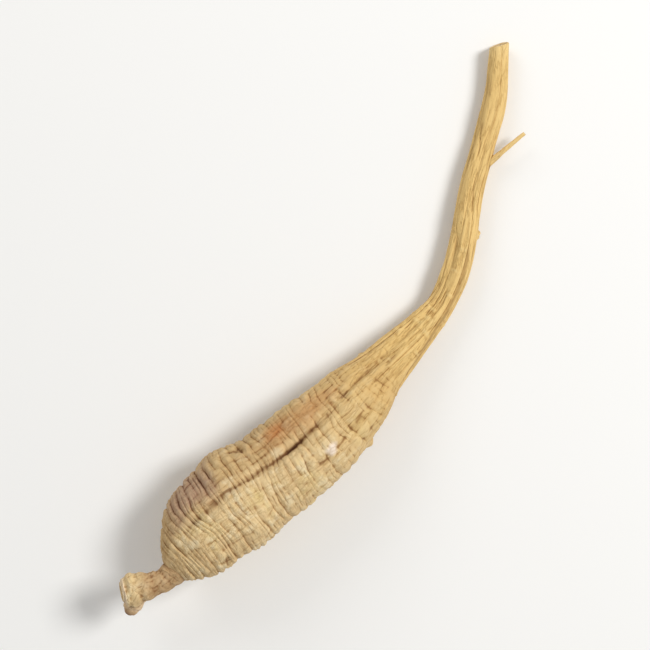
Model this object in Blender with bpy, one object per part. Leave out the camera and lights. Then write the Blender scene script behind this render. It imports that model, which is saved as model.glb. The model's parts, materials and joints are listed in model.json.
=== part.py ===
"""A dried American ginseng root, trimmed of its fine rootlets, lying on its side.

It grew as one piece, so it is one solid: the ringed main root with its long furrow, the slender
tail with its cut end, the short rhizome neck with the cup that the stem left, the bud beside it,
and the stubs of the side rootlets.

X runs from the crown to the tail, Y runs across the root and Z is up. The origin is on the
surface that the root lies on, under the middle of the root. Sizes below are in millimetres, and
a place on the root is its distance from the shoulder's pole and its angle from the top towards
+Y, in degrees.
"""

import math

import bpy
import numpy as np

MM = 0.001

# Main root from the pole of its shoulder to just past the cut tail. A station is x, y, the height
# of its underside, and its half width and half height. Where the underside is below zero the root
# is pressed flat by what it lies on.
ROOT_STATIONS = (
    (4.8, -2.1, 2.60, 4.15, 4.10),
    (10.3, -2.7, 0.70, 5.42, 5.30),
    (15.9, -4.2, -0.25, 6.10, 5.80),
    (22.9, -6.8, -0.40, 5.35, 5.30),
    (30.7, -8.5, -0.10, 4.62, 4.55),
    (36.6, -9.3, 0.35, 3.40, 3.30),
    (43.8, -10.6, 0.60, 2.18, 2.10),
    (47.6, -10.9, 0.58, 1.74, 1.68),
    (51.6, -10.25, 0.45, 1.70, 1.64),
    (55.9, -8.6, 0.30, 1.68, 1.62),
    (60.9, -6.3, 0.12, 1.55, 1.50),
    (66.0, -4.5, 0.00, 1.50, 1.45),
    (70.9, -2.7, 0.05, 1.40, 1.35),
    (77.3, 0.9, 0.45, 1.12, 1.08),
)

# The shoulder rounds off over its length. Its rings slant, so that the +Y side starts later.
SHOULDER_LENGTH = 7.0
SHOULDER_POWER = 2.0
SHOULDER_SLANT = 0.24
POLE_RADIUS = 2.5

# The tail is cut slightly askew, short of the last station. Its face dried a little hollow.
CUT_SPARE = 0.8
CUT_SLANT = 0.45
CUT_TURN = 35.0
CUT_FADE = 3.0
CUT_DISH = 0.25
CUT_BEVEL = 0.16

# Rings: their spacing along the skin and their depth, each at distances from the pole.
RING_SPACING = ((0.0, 0.98), (16.0, 1.08), (30.0, 1.42), (42.0, 2.3), (76.0, 3.2))
RING_DEPTH = ((0.0, 0.34), (8.0, 0.31), (24.0, 0.24), (31.0, 0.12), (40.0, 0.055), (76.0, 0.05))
# A groove's half width and how far a ring leans on its neighbours, as shares of the spacing.
RING_FLANK = 0.27
RING_JOSTLE = 0.15
# The weakest ring, and the faintest stretch of any ring, as shares of the full depth.
RING_WEAKEST = 0.55
RING_FAINTEST = 0.36
RING_WAVES = (2, 6)
RING_SEED = 131
# How far neighbouring rings stray together, and the waves of it: how many go round, share, turn
# per millimetre along the root and phase.
RING_STRAY = 0.38
STRAY_WAVES = ((1, 1.0, 0.11, 0.0), (2, 0.6, -0.23, 1.3), (3, 0.45, 0.31, 4.0))

# Furrows along the root: where each starts and ends, its angle at both ends, its depth and its
# half width. The first parts the narrow lobe from the wide one, the second is the slit where it
# closes up, and the third is the shallow hollow beside it that sets the narrow lobe lower.
FURROWS = (
    (1.6, 28.0, 17.0, 18.5, 0.42, 0.78),
    (15.8, 24.2, 17.3, 18.8, 0.50, 0.45),
    (2.0, 28.0, 29.0, 29.5, 0.34, 1.80),
    (19.0, 43.0, -28.0, -14.0, 0.36, 0.75),
    (27.0, 55.0, 24.0, 40.0, 0.34, 0.60),
    (4.0, 24.0, -74.0, -92.0, 0.45, 0.90),
    (7.0, 36.0, 122.0, 100.0, 0.60, 0.95),
    (14.0, 44.0, -150.0, -128.0, 0.50, 0.90),
    (32.0, 66.0, -62.0, -80.0, 0.28, 0.50),
    (33.0, 52.0, -41.0, -22.0, 0.34, 0.55),
    (46.0, 75.0, 95.0, 55.0, 0.24, 0.45),
    (40.0, 75.0, 5.0, -18.0, 0.20, 0.45),
)
FURROW_FADE = 4.5

# Slow swellings of the outline: share of the half width, length and phase.
SWELLINGS = ((0.022, 9.5, 0.4), (0.016, 6.1, 2.2), (0.030, 23.0, 1.1))
# Lobes of the cross-section: how many go round, share of the half width, phase and turn per
# millimetre along the root.
LOBES = ((2, 0.035, 0.9, 0.020), (3, 0.030, 2.6, -0.035), (5, 0.014, 4.0, 0.060))

# Puckered scars where rootlets came off: distance, angle, depth (below zero: a low knob), radius.
SCARS = (
    (28.1, 22.0, 0.20, 0.75),
    (23.2, -20.0, -0.22, 0.75),
    (6.4, -48.0, 0.30, 0.65),
    (38.2, 70.0, -0.20, 0.70),
    (14.3, 64.0, 0.28, 0.75),
    (12.0, 172.0, 0.30, 0.80),
)
# The raised rim round a scar: height as a share of its depth, place and width in scar radii.
SCAR_RIM = (0.3, 1.6, 0.6)

# Stubs of side rootlets: distance, angle, radius at the skin, length that stands out, lean to the
# tail. The last one is a thin rootlet that the trimming left.
ROOTLET_STUBS = (
    (26.5, -112.0, 0.85, 1.0, 0.8),
    (33.0, 134.0, 0.72, 0.9, 0.9),
    (41.0, 138.0, 0.55, 0.7, 1.2),
    (52.5, -122.0, 0.44, 0.6, 1.3),
    (61.3, -75.0, 0.30, 5.2, 1.4),
)
# Its thickness along its length, as shares of both, and its hollow broken end.
STUB_PROFILE = ((0.0, 1.45), (0.3, 1.05), (1.0, 0.72))
STUB_DISH = 0.12
STUB_SUNK = 0.9
STUB_SIDES = 10

# Rhizome neck: points on the line through its middle, each with its radius.
NECK_LINE = (
    (8.2, -3.0, 6.5, 2.05),
    (6.2, -2.9, 6.6, 1.90),
    (4.6, -2.6, 6.7, 1.58),
    (3.3, -2.1, 6.9, 1.38),
    (2.1, -1.1, 7.1, 1.62),
    (1.1, -0.2, 7.3, 1.86),
    (0.4, 0.5, 7.5, 1.62),
    (0.1, 0.8, 7.6, 1.28),
)
NECK_RINGS = 6
NECK_RING_DEPTH = 0.16
NECK_OVAL = 0.06
NECK_SIDES = 16
NECK_ROWS = 22
# The stem's cup in the neck's end: its rim's width and bowl as shares of the radius.
CUP_RIM = 0.26
CUP_BOWL = 0.42
CUP_RISE = 0.10
CUP_DEPTH = 0.55

# Dormant bud beside the cup, given like the neck.
BUD_LINE = (
    (1.3, -0.9, 6.6, 0.85),
    (0.3, -1.0, 6.35, 1.04),
    (-0.6, -1.05, 6.1, 1.06),
    (-1.4, -1.1, 5.85, 0.84),
    (-1.85, -1.1, 5.72, 0.45),
)
BUD_TIP = 0.12
BUD_SIDES = 12
BUD_ROWS = 9

# How finely the skin is divided. Its corners crowd together at the deep furrow.
SIDES = 34
CROWDING = 0.42
PROFILE_SAMPLES = 6000
SLOPE_REACH = 0.5

BARK_COLOUR = (0.58, 0.39, 0.16, 1.0)
BARK_ROUGHNESS = 0.85


def clear_scene():
    for obj in list(bpy.data.objects):
        bpy.data.objects.remove(obj)


def smooth_through(knots, values, at):
    """Cubic curve through the values at the knots, with the slopes that the neighbours give."""
    slopes = np.gradient(values, knots, axis=0)
    at = np.clip(at, knots[0], knots[-1])
    span = np.clip(np.searchsorted(knots, at, side="right") - 1, 0, len(knots) - 2)
    width = (knots[span + 1] - knots[span])[..., None]
    t = (at - knots[span])[..., None] / width
    start = values[span] * (1 + 2 * t) + slopes[span] * width * t
    end = values[span + 1] * (3 - 2 * t) - slopes[span + 1] * width * (1 - t)
    return start * (1 - t) ** 2 + end * t**2


def smooth_step(share):
    share = np.clip(share, 0, 1)
    return share * share * (3 - 2 * share)


def angle_from(angle, degrees):
    """How far an angle is from a direction, the short way round, in radians."""
    return (angle - np.radians(degrees) + math.pi) % (2 * math.pi) - math.pi


class RootForm:
    """The main root's skin as a function of the ring number and the angle round it."""

    def __init__(self):
        stations = np.array(ROOT_STATIONS)
        steps = np.linalg.norm(np.diff(stations[:, :2], axis=0), axis=1)
        self.knots = np.concatenate([[0.0], np.cumsum(steps)])
        self.length = self.knots[-1] - CUT_SPARE
        self.half_sizes = stations[:, 3:]
        self.middles = stations[:, :3] + [0, 0, 1] * stations[:, 4:]
        self.distances = self.length * np.linspace(0, 1, PROFILE_SAMPLES) ** 2
        self.numbers = self.count_rings()
        draws = np.random.default_rng(RING_SEED)
        count = int(self.numbers[-1]) + 2
        self.waves = draws.integers(*RING_WAVES, count)
        self.phases = draws.uniform(0, 2 * math.pi, count)
        self.strengths = draws.uniform(RING_WEAKEST, 1.0, count)

    def size(self, s):
        """Half width and half height at a distance, closed by the rounded shoulder."""
        left = 1 - np.clip(s / SHOULDER_LENGTH, 0, 1)
        close = (1 - left**SHOULDER_POWER) ** (1 / SHOULDER_POWER)
        return smooth_through(self.knots, self.half_sizes, s) * close[..., None]

    def count_rings(self):
        """The number of rings passed at each sampled distance, counted along the skin."""
        radius = self.size(self.distances).mean(-1)
        spacing = np.interp(self.distances, *np.transpose(RING_SPACING))
        run = np.hypot(np.diff(self.distances), np.diff(radius))
        return np.concatenate([[0.0], np.cumsum(2 * run / (spacing[1:] + spacing[:-1]))])

    def frame(self, s):
        """Middle of the root at a distance, and the directions along, across and up there."""
        along = smooth_through(self.knots, self.middles, s + SLOPE_REACH)
        along = along - smooth_through(self.knots, self.middles, s - SLOPE_REACH)
        along /= np.linalg.norm(along, axis=-1, keepdims=True)
        across = np.stack([-along[..., 1], along[..., 0], np.zeros_like(s)], -1)
        across /= np.linalg.norm(across, axis=-1, keepdims=True)
        middle = smooth_through(self.knots, self.middles, s)
        return middle, along, across, np.cross(along, across)

    def swing(self, ring, angle):
        """Slow wave round the root, from -1 to 1, that differs from ring to ring."""
        ring = np.clip(ring, 0, len(self.waves) - 1)
        return np.sin(self.waves[ring] * angle + self.phases[ring])

    def wander(self, s, number, angle):
        """How far a ring strays towards the crown: with the rings near it, and by itself."""
        stray = sum(
            share * np.sin(count * angle + turn * s + phase)
            for count, share, turn, phase in STRAY_WAVES
        )
        below = np.floor(number).astype(int)
        share = number - below
        jostle = (1 - share) * self.swing(below, angle) + share * self.swing(below + 1, angle)
        spacing = np.interp(s, *np.transpose(RING_SPACING))
        fade = np.clip(s / SHOULDER_LENGTH, 0, 1) * np.clip((self.length - s) / CUT_FADE, 0, 1)
        return (RING_STRAY * stray + RING_JOSTLE * spacing * jostle) * fade

    def ring_relief(self, s, number, angle):
        """Grooves at whole ring numbers, each strong and faint by turns as it goes round."""
        ring = np.rint(number).astype(int)
        swing = 1 + RING_FAINTEST + (1 - RING_FAINTEST) * self.swing(ring, angle)
        depth = np.interp(s, *np.transpose(RING_DEPTH)) * self.strengths[ring] * swing / 2
        return -depth * np.clip(1 - np.abs(number - ring) / RING_FLANK, 0, 1)

    def furrow_relief(self, s, angle, radius):
        """Long folds of the skin, each fading out at its ends."""
        relief = np.zeros_like(radius)
        for start, end, first, last, depth, half_width in FURROWS:
            middle = np.interp(s, (start, end), (first, last))
            away = angle_from(angle, middle) * radius / half_width
            fade = smooth_step(np.minimum(s - start, end - s) / FURROW_FADE)
            relief -= depth * fade * np.exp(-(away**2))
        return relief

    def scar_relief(self, s, angle, radius):
        """Puckers and low knobs where rootlets came off, each with a raised rim."""
        relief = np.zeros_like(radius)
        height, place, width = SCAR_RIM
        for distance, degrees, depth, size in SCARS:
            gap = np.hypot(angle_from(angle, degrees) * radius, s - distance) / size
            relief -= depth * np.exp(-(gap**2))
            relief += height * abs(depth) * np.exp(-(((gap - place) / width) ** 2))
        return relief

    def outline_relief(self, s, angle, radius):
        """Slow swellings along the root and lobes round it."""
        relief = np.zeros_like(radius)
        for share, length, phase in SWELLINGS:
            relief += share * radius * np.sin(2 * math.pi * s / length + phase)
        for count, share, phase, turn in LOBES:
            relief += share * radius * np.cos(count * angle + phase + turn * s)
        return relief

    def point(self, number, angle, inset=0.0):
        """Points of the skin at a ring number and an angle from the top, in radians."""
        number, angle = np.broadcast_arrays(number, angle)
        s = np.interp(number, self.numbers, self.distances)
        relief = self.ring_relief(s, number, angle)
        s = s - self.wander(s, number, angle)
        near_cut = np.clip(1 - (self.length - s) / CUT_FADE, 0, 1)
        s = s - CUT_SLANT * near_cut * np.sin(angle_from(angle, -CUT_TURN))
        size = self.size(s)
        radius = size.mean(-1)
        relief = relief + self.outline_relief(s, angle, radius)
        relief = relief + self.furrow_relief(s, angle, radius) + self.scar_relief(s, angle, radius)
        relief = relief * np.clip(radius / POLE_RADIUS, 0, 1) - inset
        sideways = (size[..., 0] + relief) * np.sin(angle)
        upwards = (size[..., 1] + relief) * np.cos(angle)
        slant = SHOULDER_SLANT * sideways * np.clip(1 - s / (2 * SHOULDER_LENGTH), 0, 1)
        middle, along, across, up = self.frame(s)
        offset = along * slant[..., None] + across * sideways[..., None] + up * upwards[..., None]
        return middle + offset


def tube_mesh(name, rows, first_pole, last_pole):
    """Closed mesh over rows of points, each row joined to the next and the ends to their poles."""
    count, sides = rows.shape[:2]
    points = np.concatenate([rows.reshape(-1, 3), [first_pole, last_pole]]) * MM
    corners = np.arange(sides)
    beside = (corners + 1) % sides
    first, last = count * sides, count * sides + 1
    end = (count - 1) * sides
    faces = [(first, a, b) for a, b in zip(corners, beside)]
    faces += [(last, end + b, end + a) for a, b in zip(corners, beside)]
    for row in range(0, end, sides):
        faces += [(row + a, row + sides + a, row + sides + b, row + b)
                  for a, b in zip(corners, beside)]
    mesh = bpy.data.meshes.new(name)
    mesh.from_pydata(points.tolist(), [], [tuple(map(int, face)) for face in faces])
    mesh.update()
    return mesh


def main_root_mesh(form):
    """The ringed root from its shoulder to its cut tail, pressed flat where it lies.

    Each ring has a row of corners in its groove and one on each flank of the band beside it. The
    first corner of every row follows the deep furrow.
    """
    last_ring = form.numbers[-1]
    places = np.array([0.0, RING_FLANK, 1 - RING_FLANK])
    numbers = (np.arange(int(last_ring))[:, None] + places).ravel()[1:]
    numbers = np.append(numbers, last_ring)[:, None]
    start, end, first, last = FURROWS[0][:4]
    distances = np.interp(numbers, form.numbers, form.distances)
    follow = np.radians(np.interp(distances, (start, end), (first, last)))
    turn = 2 * math.pi * np.arange(SIDES) / SIDES
    angles = follow + turn - CROWDING * np.sin(turn)
    rows = form.point(numbers, angles)
    cut_middle, along = (part[0] for part in form.frame(np.array([form.length]))[:2])
    cut = form.point(last_ring, angles[-1], inset=CUT_BEVEL) + along * CUT_BEVEL
    rows = np.concatenate([rows, cut[None]])
    rows[..., 2] = np.maximum(rows[..., 2], 0.0)
    return tube_mesh("ginseng_root", rows, form.point(0.0, 0.0), cut_middle - along * CUT_DISH)


def tube_rows(middles, radii):
    """Rows of points round a short line, from the radius of each middle at each side."""
    along = np.gradient(middles, axis=0)
    along /= np.linalg.norm(along, axis=1, keepdims=True)
    across = np.cross([0.0, 0.0, 1.0], along)
    across /= np.linalg.norm(across, axis=1, keepdims=True)
    up = np.cross(along, across)
    angle = 2 * math.pi * np.arange(radii.shape[1])[:, None] / radii.shape[1]
    ring = across[:, None] * np.sin(angle) + up[:, None] * np.cos(angle)
    return middles[:, None] + ring * radii[:, :, None], along


def line_through(points, count):
    """Middles and radii at even steps along a short line."""
    points = np.array(points)
    steps = np.linspace(0, len(points) - 1, count)
    path = smooth_through(np.arange(len(points)), points, steps)
    return path[:, :3], path[:, 3:]


def neck_mesh():
    """Rhizome neck, ringed by its leaf scars, ending in the cup that the stem left."""
    middles, radii = line_through(NECK_LINE, NECK_ROWS)
    angle = 2 * math.pi * np.arange(NECK_SIDES) / NECK_SIDES
    turn = np.linspace(0, 2 * math.pi, NECK_ROWS)[:, None]
    rings = np.cos(NECK_RINGS * turn + np.sin(angle))
    radii = radii - NECK_RING_DEPTH * (1 + rings) / 2
    radii = radii * (1 + NECK_OVAL * np.sin(2 * angle + turn))
    rows, along = tube_rows(middles, radii)
    tip, out = middles[-1], along[-1]
    rim = tip + (rows[-1] - tip) * (1 - CUP_RIM) + out * CUP_RISE
    bowl = tip + (rows[-1] - tip) * CUP_BOWL - out * CUP_DEPTH / 2
    rows = np.concatenate([rows, rim[None], bowl[None]])
    return tube_mesh("neck", rows, middles[0], tip - out * CUP_DEPTH)


def bud_mesh():
    """Small dormant bud beside the stem's cup."""
    middles, radii = line_through(BUD_LINE, BUD_ROWS)
    rows, along = tube_rows(middles, np.repeat(radii, BUD_SIDES, axis=1))
    return tube_mesh("bud", rows, middles[0], middles[-1] + along[-1] * BUD_TIP)


def stub_mesh(form, distance, degrees, radius, length, lean):
    """One side rootlet snapped off short, leaning towards the tail, sunk well into the root."""
    angle = math.radians(degrees)
    number = np.interp(distance, form.distances, form.numbers)
    _, along, across, up = (part[0] for part in form.frame(np.array([distance])))
    out = across * math.sin(angle) + up * math.cos(angle) + along * lean
    out /= np.linalg.norm(out)
    share, thickness = np.transpose(STUB_PROFILE)
    reach = np.append(-STUB_SUNK, share * length)
    radii = radius * np.append(thickness[0], thickness)
    middles = form.point(number, angle) + out * reach[:, None]
    rows, _ = tube_rows(middles, np.repeat(radii[:, None], STUB_SIDES, axis=1))
    return tube_mesh("stub", rows, middles[0], middles[-1] - out * STUB_DISH)


def grow_together(root, meshes):
    """Joins the meshes to the root as one closed skin, by one Boolean union."""
    growths = bpy.data.collections.new("growths")
    bpy.context.scene.collection.children.link(growths)
    for mesh in meshes:
        growths.objects.link(bpy.data.objects.new(mesh.name, mesh))
    union = root.modifiers.new("growths", "BOOLEAN")
    union.operation = "UNION"
    union.operand_type = "COLLECTION"
    union.collection = growths
    union.solver = "EXACT"
    graph = bpy.context.evaluated_depsgraph_get()
    joined = bpy.data.meshes.new_from_object(root.evaluated_get(graph))
    root.modifiers.remove(union)
    root.data = joined
    for obj in list(growths.objects):
        bpy.data.objects.remove(obj)
    bpy.data.collections.remove(growths)


def put_origin_under_middle(mesh):
    """Moves the mesh so that the origin is under the middle of its box, on its lowest plane."""
    points = np.empty(len(mesh.vertices) * 3)
    mesh.vertices.foreach_get("co", points)
    points = points.reshape(-1, 3)
    low, high = points.min(axis=0), points.max(axis=0)
    points -= [(low[0] + high[0]) / 2, (low[1] + high[1]) / 2, low[2]]
    mesh.vertices.foreach_set("co", points.ravel())
    mesh.update()


def bark_material():
    """Dull pale brown of sun-dried root bark."""
    material = bpy.data.materials.new("dried_root_bark")
    material.use_nodes = True
    shader = material.node_tree.nodes["Principled BSDF"]
    shader.inputs["Base Color"].default_value = BARK_COLOUR
    shader.inputs["Roughness"].default_value = BARK_ROUGHNESS
    shader.inputs["Metallic"].default_value = 0.0
    return material


def main():
    clear_scene()
    form = RootForm()
    root = bpy.data.objects.new("ginseng_root", main_root_mesh(form))
    bpy.context.scene.collection.objects.link(root)
    stubs = [stub_mesh(form, *stub) for stub in ROOTLET_STUBS]
    grow_together(root, [neck_mesh(), bud_mesh(), *stubs])
    put_origin_under_middle(root.data)
    root.data.materials.clear()
    root.data.materials.append(bark_material())
    root.data.shade_smooth()


main()
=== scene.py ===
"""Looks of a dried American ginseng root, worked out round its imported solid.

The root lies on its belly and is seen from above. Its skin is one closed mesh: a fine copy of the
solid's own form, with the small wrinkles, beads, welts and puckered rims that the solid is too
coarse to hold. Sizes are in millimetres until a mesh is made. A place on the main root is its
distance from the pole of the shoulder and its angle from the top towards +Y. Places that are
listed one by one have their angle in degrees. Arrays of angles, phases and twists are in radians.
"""

import json
import logging
import math
from dataclasses import dataclass, field
from enum import Enum

import bmesh
import bpy
import numpy as np
from mathutils import Matrix, Vector

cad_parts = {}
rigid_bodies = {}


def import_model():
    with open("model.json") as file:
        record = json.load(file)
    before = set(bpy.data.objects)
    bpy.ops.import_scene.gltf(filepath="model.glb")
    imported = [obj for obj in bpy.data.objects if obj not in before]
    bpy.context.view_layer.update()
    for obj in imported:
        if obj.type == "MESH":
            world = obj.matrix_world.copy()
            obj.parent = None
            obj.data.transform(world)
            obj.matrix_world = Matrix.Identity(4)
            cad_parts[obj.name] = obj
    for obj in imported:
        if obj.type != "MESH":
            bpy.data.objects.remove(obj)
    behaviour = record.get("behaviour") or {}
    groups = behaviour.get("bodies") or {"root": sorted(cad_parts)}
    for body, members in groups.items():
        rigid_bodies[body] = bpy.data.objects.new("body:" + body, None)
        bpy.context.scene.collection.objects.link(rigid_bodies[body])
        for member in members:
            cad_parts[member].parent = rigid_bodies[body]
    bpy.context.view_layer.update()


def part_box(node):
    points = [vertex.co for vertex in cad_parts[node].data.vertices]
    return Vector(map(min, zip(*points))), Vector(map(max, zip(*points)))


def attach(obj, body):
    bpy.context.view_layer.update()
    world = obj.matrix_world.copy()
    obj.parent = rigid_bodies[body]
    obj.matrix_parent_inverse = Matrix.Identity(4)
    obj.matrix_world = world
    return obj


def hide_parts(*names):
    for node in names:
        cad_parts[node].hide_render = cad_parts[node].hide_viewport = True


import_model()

log = logging.getLogger("ginseng")
Array = np.ndarray
Span = tuple[float, float]
Table = tuple[tuple[float, ...], ...]
MM = 0.001
TURN = 2 * math.pi
ROOT_NODE = "ginseng_root"


class Kind(Enum):
    """What a point of the skin belongs to. A point that the union makes has none, so it reads 0."""

    SEAM = 0
    ROOT = 1
    NECK = 2
    BUD = 3
    STUB = 4


def linear(hex_colour: str) -> tuple[float, float, float, float]:
    """Turns an sRGB colour into the linear one that a shader takes, by the standard's own curve.

    Args:
        hex_colour: The colour as "#RRGGBB".

    Returns:
        Linear red, green and blue, and an alpha of 1.
    """
    shares = [int(hex_colour[i : i + 2], 16) / 255 for i in (1, 3, 5)]
    turned = [c / 12.92 if c <= 0.04045 else ((c + 0.055) / 1.055) ** 2.4 for c in shares]
    return (*turned, 1.0)


def smooth_through(knots: Array, values: Array, at: Array) -> Array:
    """Cubic curve through values at knots, with the slopes that the neighbours give.

    Between two knots the value is the cubic that has the value and the slope of both.

    Args:
        knots: Rising places of the values.
        values: One row of values for each knot.
        at: Places to read, of any shape.

    Returns:
        The values at those places, with one more axis than at.
    """
    slopes = np.gradient(values, knots, axis=0)
    at = np.clip(at, knots[0], knots[-1])
    span = np.clip(np.searchsorted(knots, at, side="right") - 1, 0, len(knots) - 2)
    width = (knots[span + 1] - knots[span])[..., None]
    t = (at - knots[span])[..., None] / width
    start = values[span] * (1 + 2 * t) + slopes[span] * width * t
    end = values[span + 1] * (3 - 2 * t) - slopes[span + 1] * width * (1 - t)
    return start * (1 - t) ** 2 + end * t**2


def smooth_step(share: Array | float) -> Array:
    """Eases a share from 0 to 1: three times its square less twice its cube."""
    share = np.clip(share, 0, 1)
    return share * share * (3 - 2 * share)


def ease(value: Array | float, start: float, full: float) -> Array:
    """Eases from 0 where a value is at its start to 1 where it is full, in either direction."""
    return smooth_step((value - start) / (full - start))


def bell(away: Array, power: int = 2) -> Array:
    """Bell curve: e to the minus the power of how many widths off a point is."""
    return np.exp(-(away**power))


def nearness(value: Array, width: float) -> Array:
    """How near a value is to nought: 1 there, and 0 from a width away on."""
    return np.clip(1 - np.abs(value) / width, 0, 1)


def angle_from(angle: Array, degrees: Array | float) -> Array:
    """How far an angle is from a direction in degrees, in radians and the short way round."""
    return (angle - np.radians(degrees) + math.pi) % TURN - math.pi


def read_table(table: Table, at: Array) -> Array:
    """Value at each place, on straight runs between a table's pairs of place and value."""
    return np.interp(at, *np.transpose(table))


def after_rows(first: float, count: int, rest: Array) -> Array:
    """A mark that has one value over the first rows, and the given values from there on."""
    return np.concatenate([np.full((count, rest.shape[1]), first), rest])


@dataclass(frozen=True)
class RoundNoise:
    """Smooth random relief that closes round the root.

    Every corner of a lattice of cells holds a random slope. A point takes the rise of the four
    slopes round it, eased from one corner to the next, and the columns wrap round the root.

    Attributes:
        seed: Seed of the slopes.
        columns: Cells round the root.
        cell: Length of a cell along the root, in the unit of the distance.
        rows: Cells along the root before the slopes repeat.
    """

    seed: int
    columns: int
    cell: float
    rows: int = 256

    def at(self, angle: Array, distance: Array) -> Array:
        """Reads the relief.

        Args:
            angle: Angles round the root.
            distance: Distances along it, in the unit of cell.

        Returns:
            Heights from about -1 to 1.
        """
        slopes = np.random.default_rng(self.seed).uniform(0, TURN, (self.columns, self.rows))
        u, v = np.broadcast_arrays(angle / TURN * self.columns, distance / self.cell)
        column, row = np.floor(u).astype(int), np.floor(v).astype(int)
        across, along = u - column, v - row
        ease_across, ease_along = smooth_step(across), smooth_step(along)
        height = np.zeros(u.shape)
        for i in (0, 1):
            for j in (0, 1):
                turn = slopes[(column + i) % self.columns, (row + j) % self.rows]
                rise = np.cos(turn) * (across - i) + np.sin(turn) * (along - j)
                column_share = ease_across if i else 1 - ease_across
                row_share = ease_along if j else 1 - ease_along
                height += rise * column_share * row_share
        return height * math.sqrt(2)


Lumps = tuple[tuple[float, RoundNoise], ...]


def lumps_at(lumps: Lumps, angle: Array, distance: Array) -> Array:
    """Sum of noises, each times its own height."""
    return sum(height * noise.at(angle, distance) for height, noise in lumps)


@dataclass(frozen=True)
class Creases:
    """Lengthwise wrinkles: valleys along the lines where a long-celled noise passes nought.

    Attributes:
        noise: The noise. Its columns say how many wrinkles there are, and its cells how long.
        width: How far the noise may be from nought inside a valley.
        depth: Depth of the valleys, in millimetres.
        reach: Share of that depth by distance along the root.
        twist: Radians that the valleys turn round the root for each millimetre.
    """

    noise: RoundNoise
    width: float
    depth: float
    reach: Table
    twist: float = 0.0

    def relief(self, angle: Array, distance: Array) -> Array:
        """The valleys: minus the depth times the nearness to nought, to the power of one and a half."""
        near = nearness(self.noise.at(angle + self.twist * distance, distance), self.width)
        return -self.depth * read_table(self.reach, distance) * near * np.sqrt(near)


@dataclass(frozen=True)
class Beads:
    """Puckers of each band between two grooves, which don't line up from band to band.

    Attributes:
        lifts: Noise that lifts and sinks a band along its length.
        height: How far it does, in millimetres.
        flatness: How flat the lifted and the sunk stretches are.
        folds: Noise that puckers a band where it passes nought.
        fold_width: How far that noise may be from nought inside a pucker.
        fold_depth: Depth of a pucker, in millimetres.
        fold_drift: How fast the puckers change across a band.
        patches: Noise that says how puckered a stretch is.
        patch_middle: How puckered a stretch is where that noise is nought.
        patch_gain: How strongly that noise changes it.
        band_step: Rows of noise from one band to the next, so that they don't match.
        first_row: The row of noise that the first band reads for its lifts.
    """

    lifts: RoundNoise = RoundNoise(81, 38, 1.0)
    height: float = 0.09
    flatness: float = 1.5
    folds: RoundNoise = RoundNoise(82, 30, 1.0)
    fold_width: float = 0.42
    fold_depth: float = 0.06
    fold_drift: float = 0.25
    patches: RoundNoise = RoundNoise(83, 9, 2.6)
    patch_middle: float = 0.55
    patch_gain: float = 0.9
    band_step: float = 3.0
    first_row: float = 0.4

    def relief(self, angle: Array, number: Array) -> Array:
        """Every band has rows of noise to itself, strongest along the band's middle.

        The arch of a band is the sine of half a turn across it. The lift is the noise pressed
        flat by a hyperbolic tangent, and the puckers are taken from it.

        Args:
            angle: Angles round the root.
            number: Ring numbers; a band lies between two whole ones.

        Returns:
            Heights in millimetres.
        """
        band = np.floor(number)
        arch = np.sin(math.pi * (number - band))
        row = band * self.band_step
        lift = np.tanh(self.flatness * self.lifts.at(angle, row + self.first_row))
        near = smooth_step(nearness(self.folds.at(angle, number * self.fold_drift + row), self.fold_width))
        some = np.clip(self.patch_middle + self.patch_gain * self.patches.at(angle, number), 0, 1)
        return arch * (self.height * lift - self.fold_depth * some * near)


@dataclass(frozen=True)
class Places:
    """Places on the skin of the main root.

    Attributes:
        s: Distances along the root, in millimetres.
        angle: Angles round it.
        radius: Its radius there, in millimetres.
    """

    s: Array
    angle: Array
    radius: Array

    def across(self, degrees: Array | float) -> Array:
        """How far each place is from a direction, along the skin, in millimetres."""
        return angle_from(self.angle, degrees) * self.radius


@dataclass(frozen=True)
class Patch:
    """An oval patch of the bark with an uneven edge.

    Attributes:
        distance: Where its middle is along the root.
        degrees: Where its middle is round the root.
        half_length: Half its size along the root.
        half_width: Half its size across the root.
        edge: Noise that frays its edge.
        fray: How strongly it does, in half sizes.
        outer: How far out it fades away, in half sizes.
    """

    distance: float
    degrees: float
    half_length: float
    half_width: float
    edge: RoundNoise
    fray: float = 0.35
    outer: float = 1.35

    def share(self, at: Places) -> Array:
        """How much of the patch each place is: an eased step on its distance in half sizes.

        Args:
            at: Places on the root.

        Returns:
            Shares from 0 to 1.
        """
        along = (at.s - self.distance) / self.half_length
        across = at.across(self.degrees) / self.half_width
        return smooth_step(self.outer - np.hypot(along, across) + self.fray * self.edge.at(at.angle, at.s))


@dataclass(frozen=True)
class Lenticels:
    """Breathing pores of the bark: short raised welts across the root, placed by a seeded draw.

    Attributes:
        seed: Seed of the draw.
        count: How many there are.
        reach: The first and the last place along the root that one may have.
        half_widths: The least and the most that one may reach across the root, each way.
        half_length: How far each reaches along the root, each way.
        height: How far they stand up.
    """

    seed: int = 77
    count: int = 64
    reach: Span = (3.0, 52.0)
    half_widths: Span = (0.28, 0.75)
    half_length: float = 0.15
    height: float = 0.085

    def relief(self, at: Places) -> Array:
        """Each welt is a bell along the root, and a flatter bell of the fourth power across it.

        Args:
            at: Places on the root.

        Returns:
            Heights from 0 to about the welts' height, in millimetres.
        """
        draws = np.random.default_rng(self.seed)
        places = draws.uniform(*self.reach, self.count)
        turns = draws.uniform(0, 360, self.count)
        widths = draws.uniform(*self.half_widths, self.count)
        height = np.zeros(at.radius.shape)
        for place, turn, width in zip(places, turns, widths):
            across = at.across(turn) / width
            along = (at.s - place) / self.half_length
            height = np.maximum(height, bell(across, 4) * bell(along))
        return height * self.height


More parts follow.
